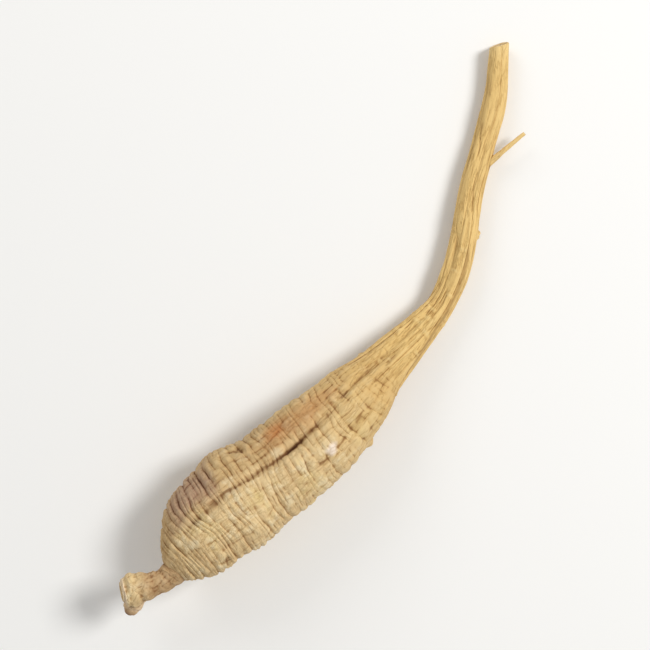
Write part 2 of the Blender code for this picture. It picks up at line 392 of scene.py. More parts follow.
@dataclass(frozen=True)
class Furrow:
    """A long fold of the skin, straight from one place on the root to another.

    Attributes:
        start: Where it starts along the root.
        end: Where it ends along the root.
        first: Its angle round the root at the start.
        last: Its angle round the root at the end.
        depth: How deep it is, in millimetres.
        half_width: Half its width, in millimetres.
        tint: How strongly shade is painted along its bottom, from 0 to 1.
        fade: How far from its ends it reaches its full depth, in millimetres.
    """

    start: float
    end: float
    first: float
    last: float
    depth: float
    half_width: float
    tint: float
    fade: float = 4.5

    def degrees_at(self, s: Array) -> Array:
        """Its angle at each distance along the root, and that of its nearer end beyond them."""
        return np.interp(s, (self.start, self.end), (self.first, self.last))

    def share(self, at: Places) -> Array:
        """How much of its depth each place has: a bell across it that fades out at its ends."""
        fade = smooth_step(np.minimum(at.s - self.start, self.end - at.s) / self.fade)
        return fade * bell(at.across(self.degrees_at(at.s)) / self.half_width)


@dataclass(frozen=True)
class Scar:
    """Where a rootlet came off: a puckered pit, or a low knob if the depth is below nought.

    Attributes:
        distance: Where it is along the root.
        degrees: Where it is round the root.
        depth: How deep it is, in millimetres.
        size: Its radius, in millimetres.
        tint: How strongly it is coloured, from 0 to 1: painted shade in a pit, and paler on a knob.
        puckers: Waves of its outline: their count, share and phase.
        rim: The raised rim round it: height as a share of the depth, and place and width in sizes.
        folds: The faint folds that run out of it: count, depth as a share, and reach in sizes.
        fold_turn: How far they are turned, in radians.
        fold_power: The power of a wave that makes them narrow.
    """

    distance: float
    degrees: float
    depth: float
    size: float
    tint: float
    puckers: Table = ((2, 0.15, 0.0), (3, 0.12, 1.0), (5, 0.08, 0.0))
    rim: tuple[float, float, float] = (0.3, 1.6, 0.6)
    folds: tuple[int, float, float] = (4, 0.25, 2.2)
    fold_turn: float = 0.5
    fold_power: int = 9

    def relief(self, at: Places) -> tuple[Array, Array]:
        """An uneven bell with a raised rim and faint folds that run out of it.

        The scar's distance turns its outline and its folds, so that no two scars match.

        Args:
            at: Places on the root.

        Returns:
            The relief in millimetres, and how much of the scar each place is.
        """
        across, along = at.across(self.degrees), at.s - self.distance
        turn = np.arctan2(across, along) + self.distance
        outline = 1 + sum(share * np.cos(count * turn + phase) for count, share, phase in self.puckers)
        gap = np.hypot(across, along) / self.size * outline
        folds, fold_depth, fold_reach = self.folds
        rays = np.abs(np.cos(folds * turn / 2 + self.fold_turn)) ** self.fold_power
        height, place, width = self.rim
        raised = height * bell((gap - place) / width) - fold_depth * rays * bell(gap / fold_reach)
        return abs(self.depth) * raised - self.depth * bell(gap), self.tint * bell(gap)


@dataclass
class Rings:
    """Growth rings: grooves round the root, close at the shoulder and faint on the tail.

    Attributes:
        spacing: Millimetres from ring to ring, by distance along the root.
        depth: Depth of the grooves in millimetres, by distance along the root.
        power: The power of the sine that arches a band between two grooves.
        seed: Seed of each ring's own wave and strength.
        wave_counts: The fewest waves round a ring, and one more than the most.
        weakest: Strength of the weakest ring, where the strongest has 1.
        faintest: Share of its depth that a ring keeps where its own wave is lowest.
        patches: Noise that makes some stretches deeper than others.
        patch_gain: How strongly it does.
        patch_range: The least and the most share that it gives.
        half_patches: Noise by which the fainter grooves halfway come and go.
        half_gain: How sharply they do.
        half_middle: How much of them is there where that noise is nought.
        half_depth: Their depth, as a share of a ring's.
        half_width: Half their width, in ring numbers.
        stray: How far neighbouring rings stray together, in millimetres.
        stray_waves: Waves of that round the root: count, share, radians a millimetre, and phase.
        jostle: How far a ring leans on its neighbours by its own wave, in spacings.
        leans: How far it leans on them by finer noises, in spacings.
    """

    spacing: Table = ((0.0, 0.98), (16.0, 1.08), (30.0, 1.42), (42.0, 2.3), (76.0, 3.2))
    depth: Table = (
        (0.0, 0.34), (8.0, 0.31), (24.0, 0.24), (30.0, 0.11), (36.0, 0.040), (76.0, 0.035),
    )
    power: float = 1.05
    seed: int = 131
    wave_counts: tuple[int, int] = (2, 6)
    weakest: float = 0.55
    faintest: float = 0.36
    patches: RoundNoise = RoundNoise(23, 12, 1.4)
    patch_gain: float = 0.6
    patch_range: Span = (0.45, 1.35)
    half_patches: RoundNoise = RoundNoise(24, 9, 1.2)
    half_gain: float = 1.8
    half_middle: float = 0.25
    half_depth: float = 0.5
    half_width: float = 0.14
    stray: float = 0.38
    stray_waves: Table = ((1, 1.0, 0.11, 0.0), (2, 0.6, -0.23, 1.3), (3, 0.45, 0.31, 4.0))
    jostle: float = 0.15
    leans: Lumps = ((0.17, RoundNoise(21, 11, 1.3)), (0.085, RoundNoise(22, 27, 1.3)))

    def lay_out(self, distances: Array, radius: Array) -> None:
        """Numbers the rings, and draws each one's own wave and strength.

        The ring number rises by the run along the skin over the spacing there.

        Args:
            distances: Rising distances along the root, in millimetres.
            radius: The root's radius at each of them, in millimetres.
        """
        spacing = read_table(self.spacing, distances)
        run = np.hypot(np.diff(distances), np.diff(radius))
        self.distances = distances
        self.numbers = np.concatenate([[0.0], np.cumsum(2 * run / (spacing[1:] + spacing[:-1]))])
        draws = np.random.default_rng(self.seed)
        count = int(self.numbers[-1]) + 2
        self.waves = draws.integers(*self.wave_counts, count)
        self.phases = draws.uniform(0, TURN, count)
        self.strengths = draws.uniform(self.weakest, 1.0, count)

    def distance_at(self, number: Array) -> Array:
        """Where each ring number is along the root, in millimetres, before it strays."""
        return np.interp(number, self.numbers, self.distances)

    def number_at(self, distance: float) -> float:
        """The ring number at a distance along the root in millimetres."""
        return np.interp(distance, self.distances, self.numbers)

    def swing(self, ring: Array, angle: Array) -> Array:
        """Slow wave round the root, from -1 to 1, that differs from ring to ring."""
        ring = np.clip(ring, 0, len(self.waves) - 1)
        return np.sin(self.waves[ring] * angle + self.phases[ring])

    def wander(self, number: Array, angle: Array) -> Array:
        """How far a ring strays towards the crown.

        Neighbouring rings stray together by three slow waves. Each also leans on its neighbours
        by a wave of its own and by finer noises, and rows between two rings share their ways.

        Args:
            number: Ring numbers.
            angle: Angles round the root.

        Returns:
            Millimetres towards the crown.
        """
        s = self.distance_at(number)
        stray = sum(
            share * np.sin(count * angle + turn * s + phase)
            for count, share, turn, phase in self.stray_waves
        )
        below = np.floor(number).astype(int)
        share = number - below
        lean = 0.0
        for ring, weight in ((below, 1 - share), (below + 1, share)):
            own = self.jostle * self.swing(ring, angle)
            lean = lean + weight * (own + lumps_at(self.leans, angle, ring))
        return self.stray * stray + read_table(self.spacing, s) * lean

    def relief(self, number: Array, angle: Array) -> Array:
        """Grooves at whole ring numbers, and fainter ones halfway that come and go.

        A band between two grooves is an arch: the sine of half a turn across it, to a power near
        one. A groove's depth is that of its place, its strength, its own wave and its patches.

        Args:
            number: Ring numbers.
            angle: Angles round the root.

        Returns:
            Heights down to minus the depth there, in millimetres, or a little more in deep patches.
        """
        ring = np.rint(number).astype(int)
        swing = (1 + self.faintest + (1 - self.faintest) * self.swing(ring, angle)) / 2
        patchy = np.clip(1 + self.patch_gain * self.patches.at(angle, ring), *self.patch_range)
        groove = 1 - np.abs(np.sin(math.pi * number)) ** self.power
        below = np.floor(number).astype(int)
        there = np.clip(self.half_gain * self.half_patches.at(angle, below) + self.half_middle, 0, 1)
        halfway = self.half_depth * there * nearness(number - below - 0.5, self.half_width)
        depth = read_table(self.depth, self.distance_at(number))
        return -depth * (self.strengths[ring] * swing * patchy * groove + halfway)


@dataclass
class Tube:
    """A closed surface in rows of points, with marks that its finish reads at each point.

    Attributes:
        kind: What the surface is.
        rows: Points, by row, side and axis, in millimetres.
        poles: The points that close the first and the last row.
        grain: Places in the wood, by row, side and axis: along, across and up, in millimetres.
        marks: Shares from 0 to 1 by name, each by row and side.
    """

    kind: Kind
    rows: Array
    poles: tuple[Array, Array]
    grain: Array
    marks: dict[str, Array]

    def faces(self) -> list[list[int]]:
        """Joins the points by quads between neighbouring rows, and a fan of triangles at each pole.

        Returns:
            The numbers of each face's points.
        """
        count, sides = self.rows.shape[:2]
        here = np.arange(sides)
        beside = (here + 1) % sides
        start = (np.arange(count - 1) * sides)[:, None]
        quads = np.stack([start + here, start + sides + here, start + sides + beside, start + beside], -1)
        end, pole = (count - 1) * sides, count * sides
        first = np.stack([np.full(sides, pole), here, beside], -1)
        last = np.stack([np.full(sides, pole + 1), end + beside, end + here], -1)
        return quads.reshape(-1, 4).tolist() + first.tolist() + last.tolist()

    def with_poles(self, values: Array) -> Array:
        """One value for each point of the mesh: a pole takes the mean of the row beside it."""
        flat = values.reshape(self.rows.shape[0] * self.rows.shape[1], -1)
        return np.concatenate([flat, [values[0].mean(0).ravel(), values[-1].mean(0).ravel()]])

    def make(self, name: str, mark_names: tuple[str, ...]) -> bpy.types.Object:
        """Makes the mesh object, with its marks as point attributes.

        Args:
            name: The object's name.
            mark_names: The marks that every piece of the skin carries.

        Returns:
            The object, in no collection yet.
        """
        points = np.concatenate([self.rows.reshape(-1, 3), np.stack(self.poles)]) * MM
        mesh = bpy.data.meshes.new(name)
        mesh.from_pydata(points.tolist(), [], self.faces())
        kinds = np.full(len(points), float(self.kind.value))
        mesh.attributes.new("kind", "FLOAT", "POINT").data.foreach_set("value", kinds)
        for mark in mark_names:
            values = self.with_poles(self.marks.get(mark, np.zeros(self.rows.shape[:2])))
            mesh.attributes.new(mark, "FLOAT", "POINT").data.foreach_set("value", values.ravel())
        places = self.with_poles(self.grain)
        mesh.attributes.new("grain", "FLOAT_VECTOR", "POINT").data.foreach_set("vector", places.ravel())
        return bpy.data.objects.new(name, mesh)


@dataclass
class MainRoot:
    """The ringed main root, from the pole of its shoulder to its cut tail.

    The form is the solid's own; the small wrinkles, welts and fine waves of the rings are added.

    Attributes:
        stations: x, y, the height of the underside, the half width and the half height.
        shoulder_length: Length of the rounded shoulder.
        shoulder_slant: How far one flank of the shoulder stands ahead, as a share of its width.
        pole_radius: Below this radius the relief fades away towards the pole.
        cut_spare: How much of the last stretch is cut off.
        cut_slant: How far the cut leans, in millimetres.
        cut_turn: The direction that it leans to.
        cut_fade: How far before the cut the rings stop straying and start to lean with it.
        cut_bevel: Radius of the cut's edge.
        cut_dish: How far the middle of the cut's face has sunk.
        ray_count: Rays of the cut's face.
        ray_sway: How far they bend, in radians.
        ray_depth: Their depth.
        ripples: Ripples of the face from its middle to its rim.
        ripple_depth: Their depth.
        swellings: Swellings along the root: share of the radius, length and phase.
        lobes: Lobes round it: count, share of the radius, phase, and radians a millimetre.
        lumps: Uneven lumps, as shares of the radius.
        rings: The growth rings.
        furrows: The long folds. The columns of points follow the first one, between the two lobes.
        creases: The wrinkles, from the shoulder's net to the tail's long valleys.
        beads: The puckers of the bands.
        bead_reach: Share of their height by distance along the root.
        lenticels: The welts.
        scars: The pits and knobs where rootlets came off.
        scar_calm: How much of the rings a scar takes away.
        blush: The orange patch, and its stronger middle.
        blush_calm: How much of the rings and of the beads the patch takes away.
        bruise: The purple-brown patch of the shoulder.
        purple_brown_depth: How much deeper its rings are.
        lobe_shade_sides: The angles where the darker lobe above the fold sets in and where it is at
        its strongest, on either side; it is partly browner bark and partly painted shade.
        lobe_shade_reach: Where it sets in along the root, and where it is at its strongest.
        tail_reach: Where the yellower bark sets in, and where it is at its strongest.
        sides: Columns of points.
        crowding: How much the columns crowd at the first furrow.
        ring_rows: Where each ring's rows of points lie, in ring numbers.
        pole_rows: Rows that are left out next to the pole.
        bevel_rows: Rows of the cut's edge.
        face_rows: Rows of the cut's face.
        samples: Steps in which the rings are counted.
    """

    stations: Table = (
        (4.8, -2.1, 2.60, 4.15, 4.10),
        (10.3, -2.7, 0.70, 5.42, 5.30),
        (15.9, -4.2, -0.25, 6.10, 5.80),
        (22.9, -6.8, -0.40, 5.35, 5.30),
        (30.7, -8.5, -0.10, 4.62, 4.55),
        (36.6, -9.3, 0.35, 3.40, 3.30),
        (43.8, -10.6, 0.60, 2.18, 2.10),
        (47.6, -10.9, 0.58, 1.74, 1.68),
        (51.6, -10.25, 0.45, 1.70, 1.64),
        (55.9, -8.6, 0.30, 1.68, 1.62),
        (60.9, -6.3, 0.12, 1.55, 1.50),
        (66.0, -4.5, 0.00, 1.50, 1.45),
        (70.9, -2.7, 0.05, 1.40, 1.35),
        (77.3, 0.9, 0.45, 1.12, 1.08),
    )
    shoulder_length: float = 7.0
    shoulder_slant: float = 0.24
    pole_radius: float = 2.5
    cut_spare: float = 0.8
    cut_slant: float = 0.45
    cut_turn: float = -35.0
    cut_fade: float = 3.0
    cut_bevel: float = 0.16
    cut_dish: float = 0.25
    ray_count: int = 9
    ray_sway: float = 1.3
    ray_depth: float = 0.035
    ripples: float = 2.5
    ripple_depth: float = 0.05
    swellings: Table = ((0.022, 9.5, 0.4), (0.016, 6.1, 2.2), (0.030, 23.0, 1.1))
    lobes: Table = ((2, 0.035, 0.9, 0.020), (3, 0.030, 2.6, -0.035), (5, 0.014, 4.0, 0.060))
    lumps: Lumps = ((0.030, RoundNoise(31, 7, 5.0)), (0.018, RoundNoise(32, 15, 2.4)))
    rings: Rings = field(default_factory=Rings)
    furrows: tuple[Furrow, ...] = (
        Furrow(1.6, 28.0, 17.0, 18.5, 0.42, 0.78, 0.30),
        Furrow(15.8, 24.2, 17.3, 18.8, 0.50, 0.45, 1.00),
        Furrow(2.0, 28.0, 29.0, 29.5, 0.34, 1.80, 0.00),
        Furrow(19.0, 43.0, -28.0, -14.0, 0.26, 0.75, 0.00),
        Furrow(27.0, 55.0, 24.0, 40.0, 0.34, 0.60, 0.15),
        Furrow(4.0, 24.0, -74.0, -92.0, 0.45, 0.90, 0.40),
        Furrow(7.0, 36.0, 122.0, 100.0, 0.60, 0.95, 0.50),
        Furrow(14.0, 44.0, -150.0, -128.0, 0.50, 0.90, 0.40),
        Furrow(32.0, 66.0, -62.0, -80.0, 0.28, 0.50, 0.30),
        Furrow(33.0, 52.0, -41.0, -22.0, 0.34, 0.55, 0.15),
        Furrow(46.0, 75.0, 95.0, 55.0, 0.24, 0.45, 0.30),
        Furrow(40.0, 75.0, 5.0, -18.0, 0.20, 0.45, 0.20),
        Furrow(34.0, 54.0, -58.0, -24.0, 0.10, 0.40, 0.60),
        Furrow(31.5, 39.0, -1.0, 8.0, 0.08, 0.36, 0.65),
    )
    creases: tuple[Creases, ...] = (
        Creases(RoundNoise(11, 22, 6.5), 0.40, 0.060,
                ((0, 0.6), (6, 1.0), (26, 1.0), (40, 0.5), (60, 0.0))),
        Creases(RoundNoise(12, 44, 2.4), 0.40, 0.026,
                ((0, 0.5), (8, 1.0), (30, 1.0), (46, 0.4), (76, 0.0))),
        Creases(RoundNoise(13, 12, 14.0), 0.36, 0.160,
                ((18, 0.0), (30, 1.0), (44, 0.9), (60, 0.4), (76, 0.3)), 0.012),
        Creases(RoundNoise(14, 8, 13.0), 0.34, 0.190, ((32, 0.0), (46, 1.0), (76, 1.0)), -0.022),
        Creases(RoundNoise(15, 19, 7.0), 0.44, 0.060, ((28, 0.0), (42, 1.0), (76, 1.0)), 0.016),
        Creases(RoundNoise(16, 34, 4.0), 0.40, 0.020, ((24, 0.0), (36, 1.0), (76, 1.0))),
    )
    beads: Beads = Beads()
    bead_reach: Table = ((0, 0.6), (5, 1.0), (21, 1.0), (30, 0.35), (38, 0.12), (46, 0.0))
    lenticels: Lenticels = Lenticels()
    scars: tuple[Scar, ...] = (
        Scar(28.1, 22.0, 0.20, 0.75, 0.5),
        Scar(23.2, -20.0, -0.22, 0.75, 1.0),
        Scar(6.4, -48.0, 0.30, 0.65, 1.0),
        Scar(38.2, 70.0, -0.20, 0.70, 0.3),
        Scar(14.3, 64.0, 0.28, 0.75, 0.7),
        Scar(12.0, 172.0, 0.30, 0.80, 1.0),
    )
    scar_calm: float = 0.6
    blush: tuple[Patch, Patch] = (
        Patch(22.4, 46.0, 6.0, 2.1, RoundNoise(41, 16, 2.2)),
        Patch(19.3, 57.0, 1.6, 1.2, RoundNoise(43, 16, 2.2)),
    )
    blush_calm: Span = (0.75, 0.70)
    bruise: Patch = Patch(7.2, 60.0, 3.8, 3.9, RoundNoise(42, 16, 2.2))
    purple_brown_depth: float = 0.45
    lobe_shade_sides: tuple[Span, Span] = ((20.0, 40.0), (150.0, 120.0))
    lobe_shade_reach: Span = (30.0, 18.0)
    tail_reach: Span = (17.0, 41.0)
    sides: int = 180
    crowding: float = 0.3
    ring_rows: tuple[float, ...] = (0.0, 0.06, 0.16, 0.3, 0.42, 0.5, 0.58, 0.7, 0.84, 0.94)
    pole_rows: int = 2
    bevel_rows: int = 3
    face_rows: int = 12
    samples: int = 6000

    def __post_init__(self) -> None:
        """Works out the root's length and its middle line, and lays out its rings.

        The rings are counted in steps that grow with the distance's square root, so that they
        are finest at the pole, where the shoulder is steepest.
        """
        stations = np.array(self.stations)
        steps = np.linalg.norm(np.diff(stations[:, :2], axis=0), axis=1)
        self.knots = np.concatenate([[0.0], np.cumsum(steps)])
        self.length = self.knots[-1] - self.cut_spare
        self.half_sizes = stations[:, 3:]
        self.middles = stations[:, :3] + [0, 0, 1] * stations[:, 4:]
        distances = self.length * np.linspace(0, 1, self.samples) ** 2
        self.rings.lay_out(distances, self.size(distances).mean(-1))

    def size(self, s: Array) -> Array:
        """Half width and half height at a distance, closed by the quarter circle of the shoulder."""
        left = 1 - np.clip(s / self.shoulder_length, 0, 1)
        return smooth_through(self.knots, self.half_sizes, s) * np.sqrt(1 - left**2)[..., None]

    def axes(self, s: Array) -> tuple[Array, Array, Array, Array]:
        """The root's frame. Along is the way from half a millimetre before to as much after.

        Args:
            s: Distances along the root, in millimetres.

        Returns:
            The middle of the root, and the directions along, across and up.
        """
        along = smooth_through(self.knots, self.middles, s + 0.5)
        along = along - smooth_through(self.knots, self.middles, s - 0.5)
        along /= np.linalg.norm(along, axis=-1, keepdims=True)
        across = np.stack([-along[..., 1], along[..., 0], np.zeros_like(s)], -1)
        across /= np.linalg.norm(across, axis=-1, keepdims=True)
        return smooth_through(self.knots, self.middles, s), along, across, np.cross(along, across)

    def distance_of(self, number: Array, angle: Array) -> Array:
        """Where a ring is at each angle: it strays, and near the cut it leans with the cut instead.

        Args:
            number: Ring numbers.
            angle: Angles round the root.

        Returns:
            Distances along the root, in millimetres.
        """
        s = self.rings.distance_at(number)
        fade = np.clip(s / self.shoulder_length, 0, 1) * np.clip((self.length - s) / self.cut_fade, 0, 1)
        s = s - self.rings.wander(number, angle) * fade
        near_cut = np.clip(1 - (self.length - s) / self.cut_fade, 0, 1)
        return s - self.cut_slant * near_cut * np.sin(angle_from(angle, self.cut_turn))

    def outline_relief(self, at: Places) -> Array:
        """Swellings, which are sines along the root, lobes, which are cosines round it, and lumps.

        Args:
            at: Places on the root.

        Returns:
            Heights in millimetres.
        """
        share = lumps_at(self.lumps, at.angle, at.s)
        for height, length, phase in self.swellings:
            share = share + height * np.sin(TURN * at.s / length + phase)
        for count, height, phase, turn in self.lobes:
            share = share + height * np.cos(count * at.angle + phase + turn * at.s)
        return share * at.radius

    def furrow_relief(self, at: Places) -> tuple[Array, Array]:
        """The furrows, each sunk by its depth, and the shade painted along their bottoms.

        Args:
            at: Places on the root.

        Returns:
            Heights in millimetres, and the painted shade from 0 to 1.
        """
        relief, brown = 0.0, 0.0
        for furrow in self.furrows:
            share = furrow.share(at)
            relief = relief - furrow.depth * share
            # Shade painted along each furrow's bottom.
            brown = np.maximum(brown, furrow.tint * share**2)
        return relief, brown

    def scar_relief(self, at: Places) -> tuple[Array, Array, Array]:
        """The sum of the scars' relief, and the strongest pit and knob at each place.

        Args:
            at: Places on the root.

        Returns:
            Heights in millimetres, and how much of a pit and of a knob each place is.
        """
        relief, pit, knob = 0.0, 0.0, 0.0
        for scar in self.scars:
            height, share = scar.relief(at)
            relief = relief + height
            # A pit's mark paints shade in it; a knob's mark makes it paler.
            if scar.depth > 0:
                pit = np.maximum(pit, share)
            else:
                knob = np.maximum(knob, share)
        return relief, pit, knob

    def tail_share(self, s: Array | float) -> Array:
        """How much a place has of the tail's yellower bark, from 0 to 1."""
        return ease(s, *self.tail_reach)

    def lobe_tone_and_shade_share(self, at: Places) -> Array:
        """How much a place has of the darker lobe above the fold, browner bark and painted shade, from 0
        to 1.
        """
        lower, upper = (ease(np.degrees(at.angle), *side) for side in self.lobe_shade_sides)
        return lower * upper * ease(at.s, *self.lobe_shade_reach)

    def surface(
        self, number: Array, angle: Array, inset: float = 0.0
    ) -> tuple[Array, Array, dict[str, Array]]:
        """Works out the skin at a ring number and an angle.

        A point stands off the middle line by the half sizes and the relief. The relief is the
        sum of the outline's, the furrows', the rings', the beads', the scars', the welts' and the
        creases'. At the shoulder one flank stands ahead of the other.

        Args:
            number: Ring numbers.
            angle: Angles from the top towards +Y.
            inset: How far inside the skin to stay, in millimetres.

        Returns:
            The points, their grain, and their marks by name.
        """
        number, angle = np.broadcast_arrays(number, angle)
        s = self.distance_of(number, angle)
        size = self.size(s)
        at = Places(s, angle, size.mean(-1))
        wide, core = (patch.share(at) for patch in self.blush)
        blush, bruise = (wide + core) / 2, self.bruise.share(at)
        furrows, brown = self.furrow_relief(at)
        scars, pit, knob = self.scar_relief(at)
        welts = self.lenticels.relief(at)
        ring_calm, bead_calm = self.blush_calm
        calm = 1 - self.scar_calm * np.maximum(pit, knob)
        depth = (1 - ring_calm * blush + self.purple_brown_depth * bruise) * calm
        rings = self.rings.relief(number, angle) * depth
        beads = self.beads.relief(angle, number) * read_table(self.bead_reach, s) * (1 - bead_calm * blush)
        creases = sum(wrinkles.relief(angle, s) for wrinkles in self.creases)
        relief = self.outline_relief(at) + furrows + rings + beads + scars + welts + creases
        relief = relief * np.clip(at.radius / self.pole_radius, 0, 1) - inset
        sideways = (size[..., 0] + relief) * np.sin(angle)
        upwards = (size[..., 1] + relief) * np.cos(angle)
        ahead = self.shoulder_slant * sideways * np.clip(1 - s / (2 * self.shoulder_length), 0, 1)
        middle, along, across, up = self.axes(s)
        points = middle + along * ahead[..., None] + across * sideways[..., None] + up * upwards[..., None]
        marks = {
            "blush": blush,
            "bruise": bruise,
            # Painted shade along the bottoms of the furrows.
            "fold": brown,
            "pit": pit,
            "knob": knob,
            "welt": welts / self.lenticels.height,
            # The lobe above the fold: browner bark, partly painted shade.
            "stain": self.lobe_tone_and_shade_share(at),
            "tail": self.tail_share(s),
        }
        return points, np.stack([s, sideways, upwards], -1), marks

    def cut_face(self, rim: Array, middle: Array, along: Array) -> tuple[Array, Array]:
        """The dished face of the cut tail, in rows from its rim to near its middle.

        The face sinks by the dish times one less the square of the share of the radius, by
        ripples round its middle, and by shallow rays that a dried face shrinks into.

        Args:
            rim: Points of the rim, by side and axis.
            middle: The middle of the cut.
            along: The direction that the cut faces.

        Returns:
            The rows' points and their shares of the radius.
        """
        share = np.linspace(1, 0, self.face_rows + 2)[1:-1, None]
        angle = TURN * np.arange(len(rim)) / len(rim)
        rays = np.sin(self.ray_count * angle + self.ray_sway * np.sin(2 * angle))
        rays = rays * np.sin(math.pi * share) ** 2
        ripples = np.sin(math.pi * share * self.ripples) ** 2
        sink = self.cut_dish * (1 - share**2) + self.ripple_depth * ripples + self.ray_depth * rays
        rows = middle + (rim - middle) * share[..., None] - along * sink[..., None]
        return rows, np.broadcast_to(share, rows.shape[:2])

    def tube(self) -> Tube:
        """Builds the whole main root as one closed tube, pressed flat where it lies.

        The columns follow the long fold and crowd at it. The cut's edge is a quarter circle.

        Returns:
            The root's closed surface.
        """
        last_ring = self.rings.numbers[-1]
        numbers = (np.arange(int(last_ring))[:, None] + np.array(self.ring_rows)).ravel()[self.pole_rows :]
        numbers = np.append(numbers[numbers < last_ring], last_ring)[:, None]
        fold = np.radians(self.furrows[0].degrees_at(self.rings.distance_at(numbers)))
        turn = TURN * np.arange(self.sides) / self.sides
        angles = fold + turn - self.crowding * np.sin(turn)
        points, grain, marks = self.surface(numbers, angles)
        middle, along = (part[0] for part in self.axes(np.array([self.length]))[:2])
        edge = [
            self.surface(last_ring, angles[-1], self.cut_bevel * (1 - math.cos(round_by)))[0]
            + along * self.cut_bevel * math.sin(round_by)
            for round_by in np.linspace(0, math.pi / 2, self.bevel_rows + 1)[1:]
        ]
        face, share = self.cut_face(edge[-1], middle + along * self.cut_bevel, along)
        rows = np.concatenate([points, np.stack(edge), face])
        rows[..., 2] = np.maximum(rows[..., 2], 0.0)
        extra = len(rows) - len(points)
        marks = {
            name: np.concatenate([values, np.repeat(values[-1:], extra, axis=0)])
            for name, values in marks.items()
        }
        before_face = len(rows) - len(face)
        marks["face"] = after_rows(0.0, before_face - 1, np.ones((len(face) + 1, self.sides)))
        marks["core"] = after_rows(1.0, before_face, share)
        grain = np.concatenate([grain, rows[-extra:] - middle + [self.length, 0, 0]])
        pole = self.surface(np.array(0.0), np.array(0.0))[0]
        centre = middle + along * (self.cut_bevel - self.cut_dish)
        return Tube(Kind.ROOT, rows, (pole, centre), grain, marks)


def line_through(points: Table, count: int) -> tuple[Array, Array]:
    """Middles and radii at even steps along a short line.

    Args:
        points: x, y, z and radius of each point.
        count: How many steps to take.

    Returns:
        The middles and the radii, one row each.
    """
    values = np.array(points)
    steps = np.linspace(0, len(values) - 1, count)
    path = smooth_through(np.arange(len(values)), values, steps)
    return path[:, :3], path[:, 3:]


def rows_round(middles: Array, radii: Array) -> tuple[Array, Array]:
    """Rows of points round a short line, square to it.

    Args:
        middles: Points of the line.
        radii: The radius at each of them and each side.

    Returns:
        The points by row, side and axis, and the line's directions.
    """
    along = np.gradient(middles, axis=0)
    along /= np.linalg.norm(along, axis=1, keepdims=True)
    across = np.cross([0.0, 0.0, 1.0], along)
    across /= np.linalg.norm(across, axis=1, keepdims=True)
    up = np.cross(along, across)
    angle = TURN * np.arange(radii.shape[1])[:, None] / radii.shape[1]
    ring = across[:, None] * np.sin(angle) + up[:, None] * np.cos(angle)
    return middles[:, None] + ring * radii[:, :, None], along


def local_grain(rows: Array, start: float) -> Array:
    """Grain of a short growth: its own points, moved along so that no two growths match."""
    return rows - rows[0].mean(0) + [start, 0.0, 0.0]


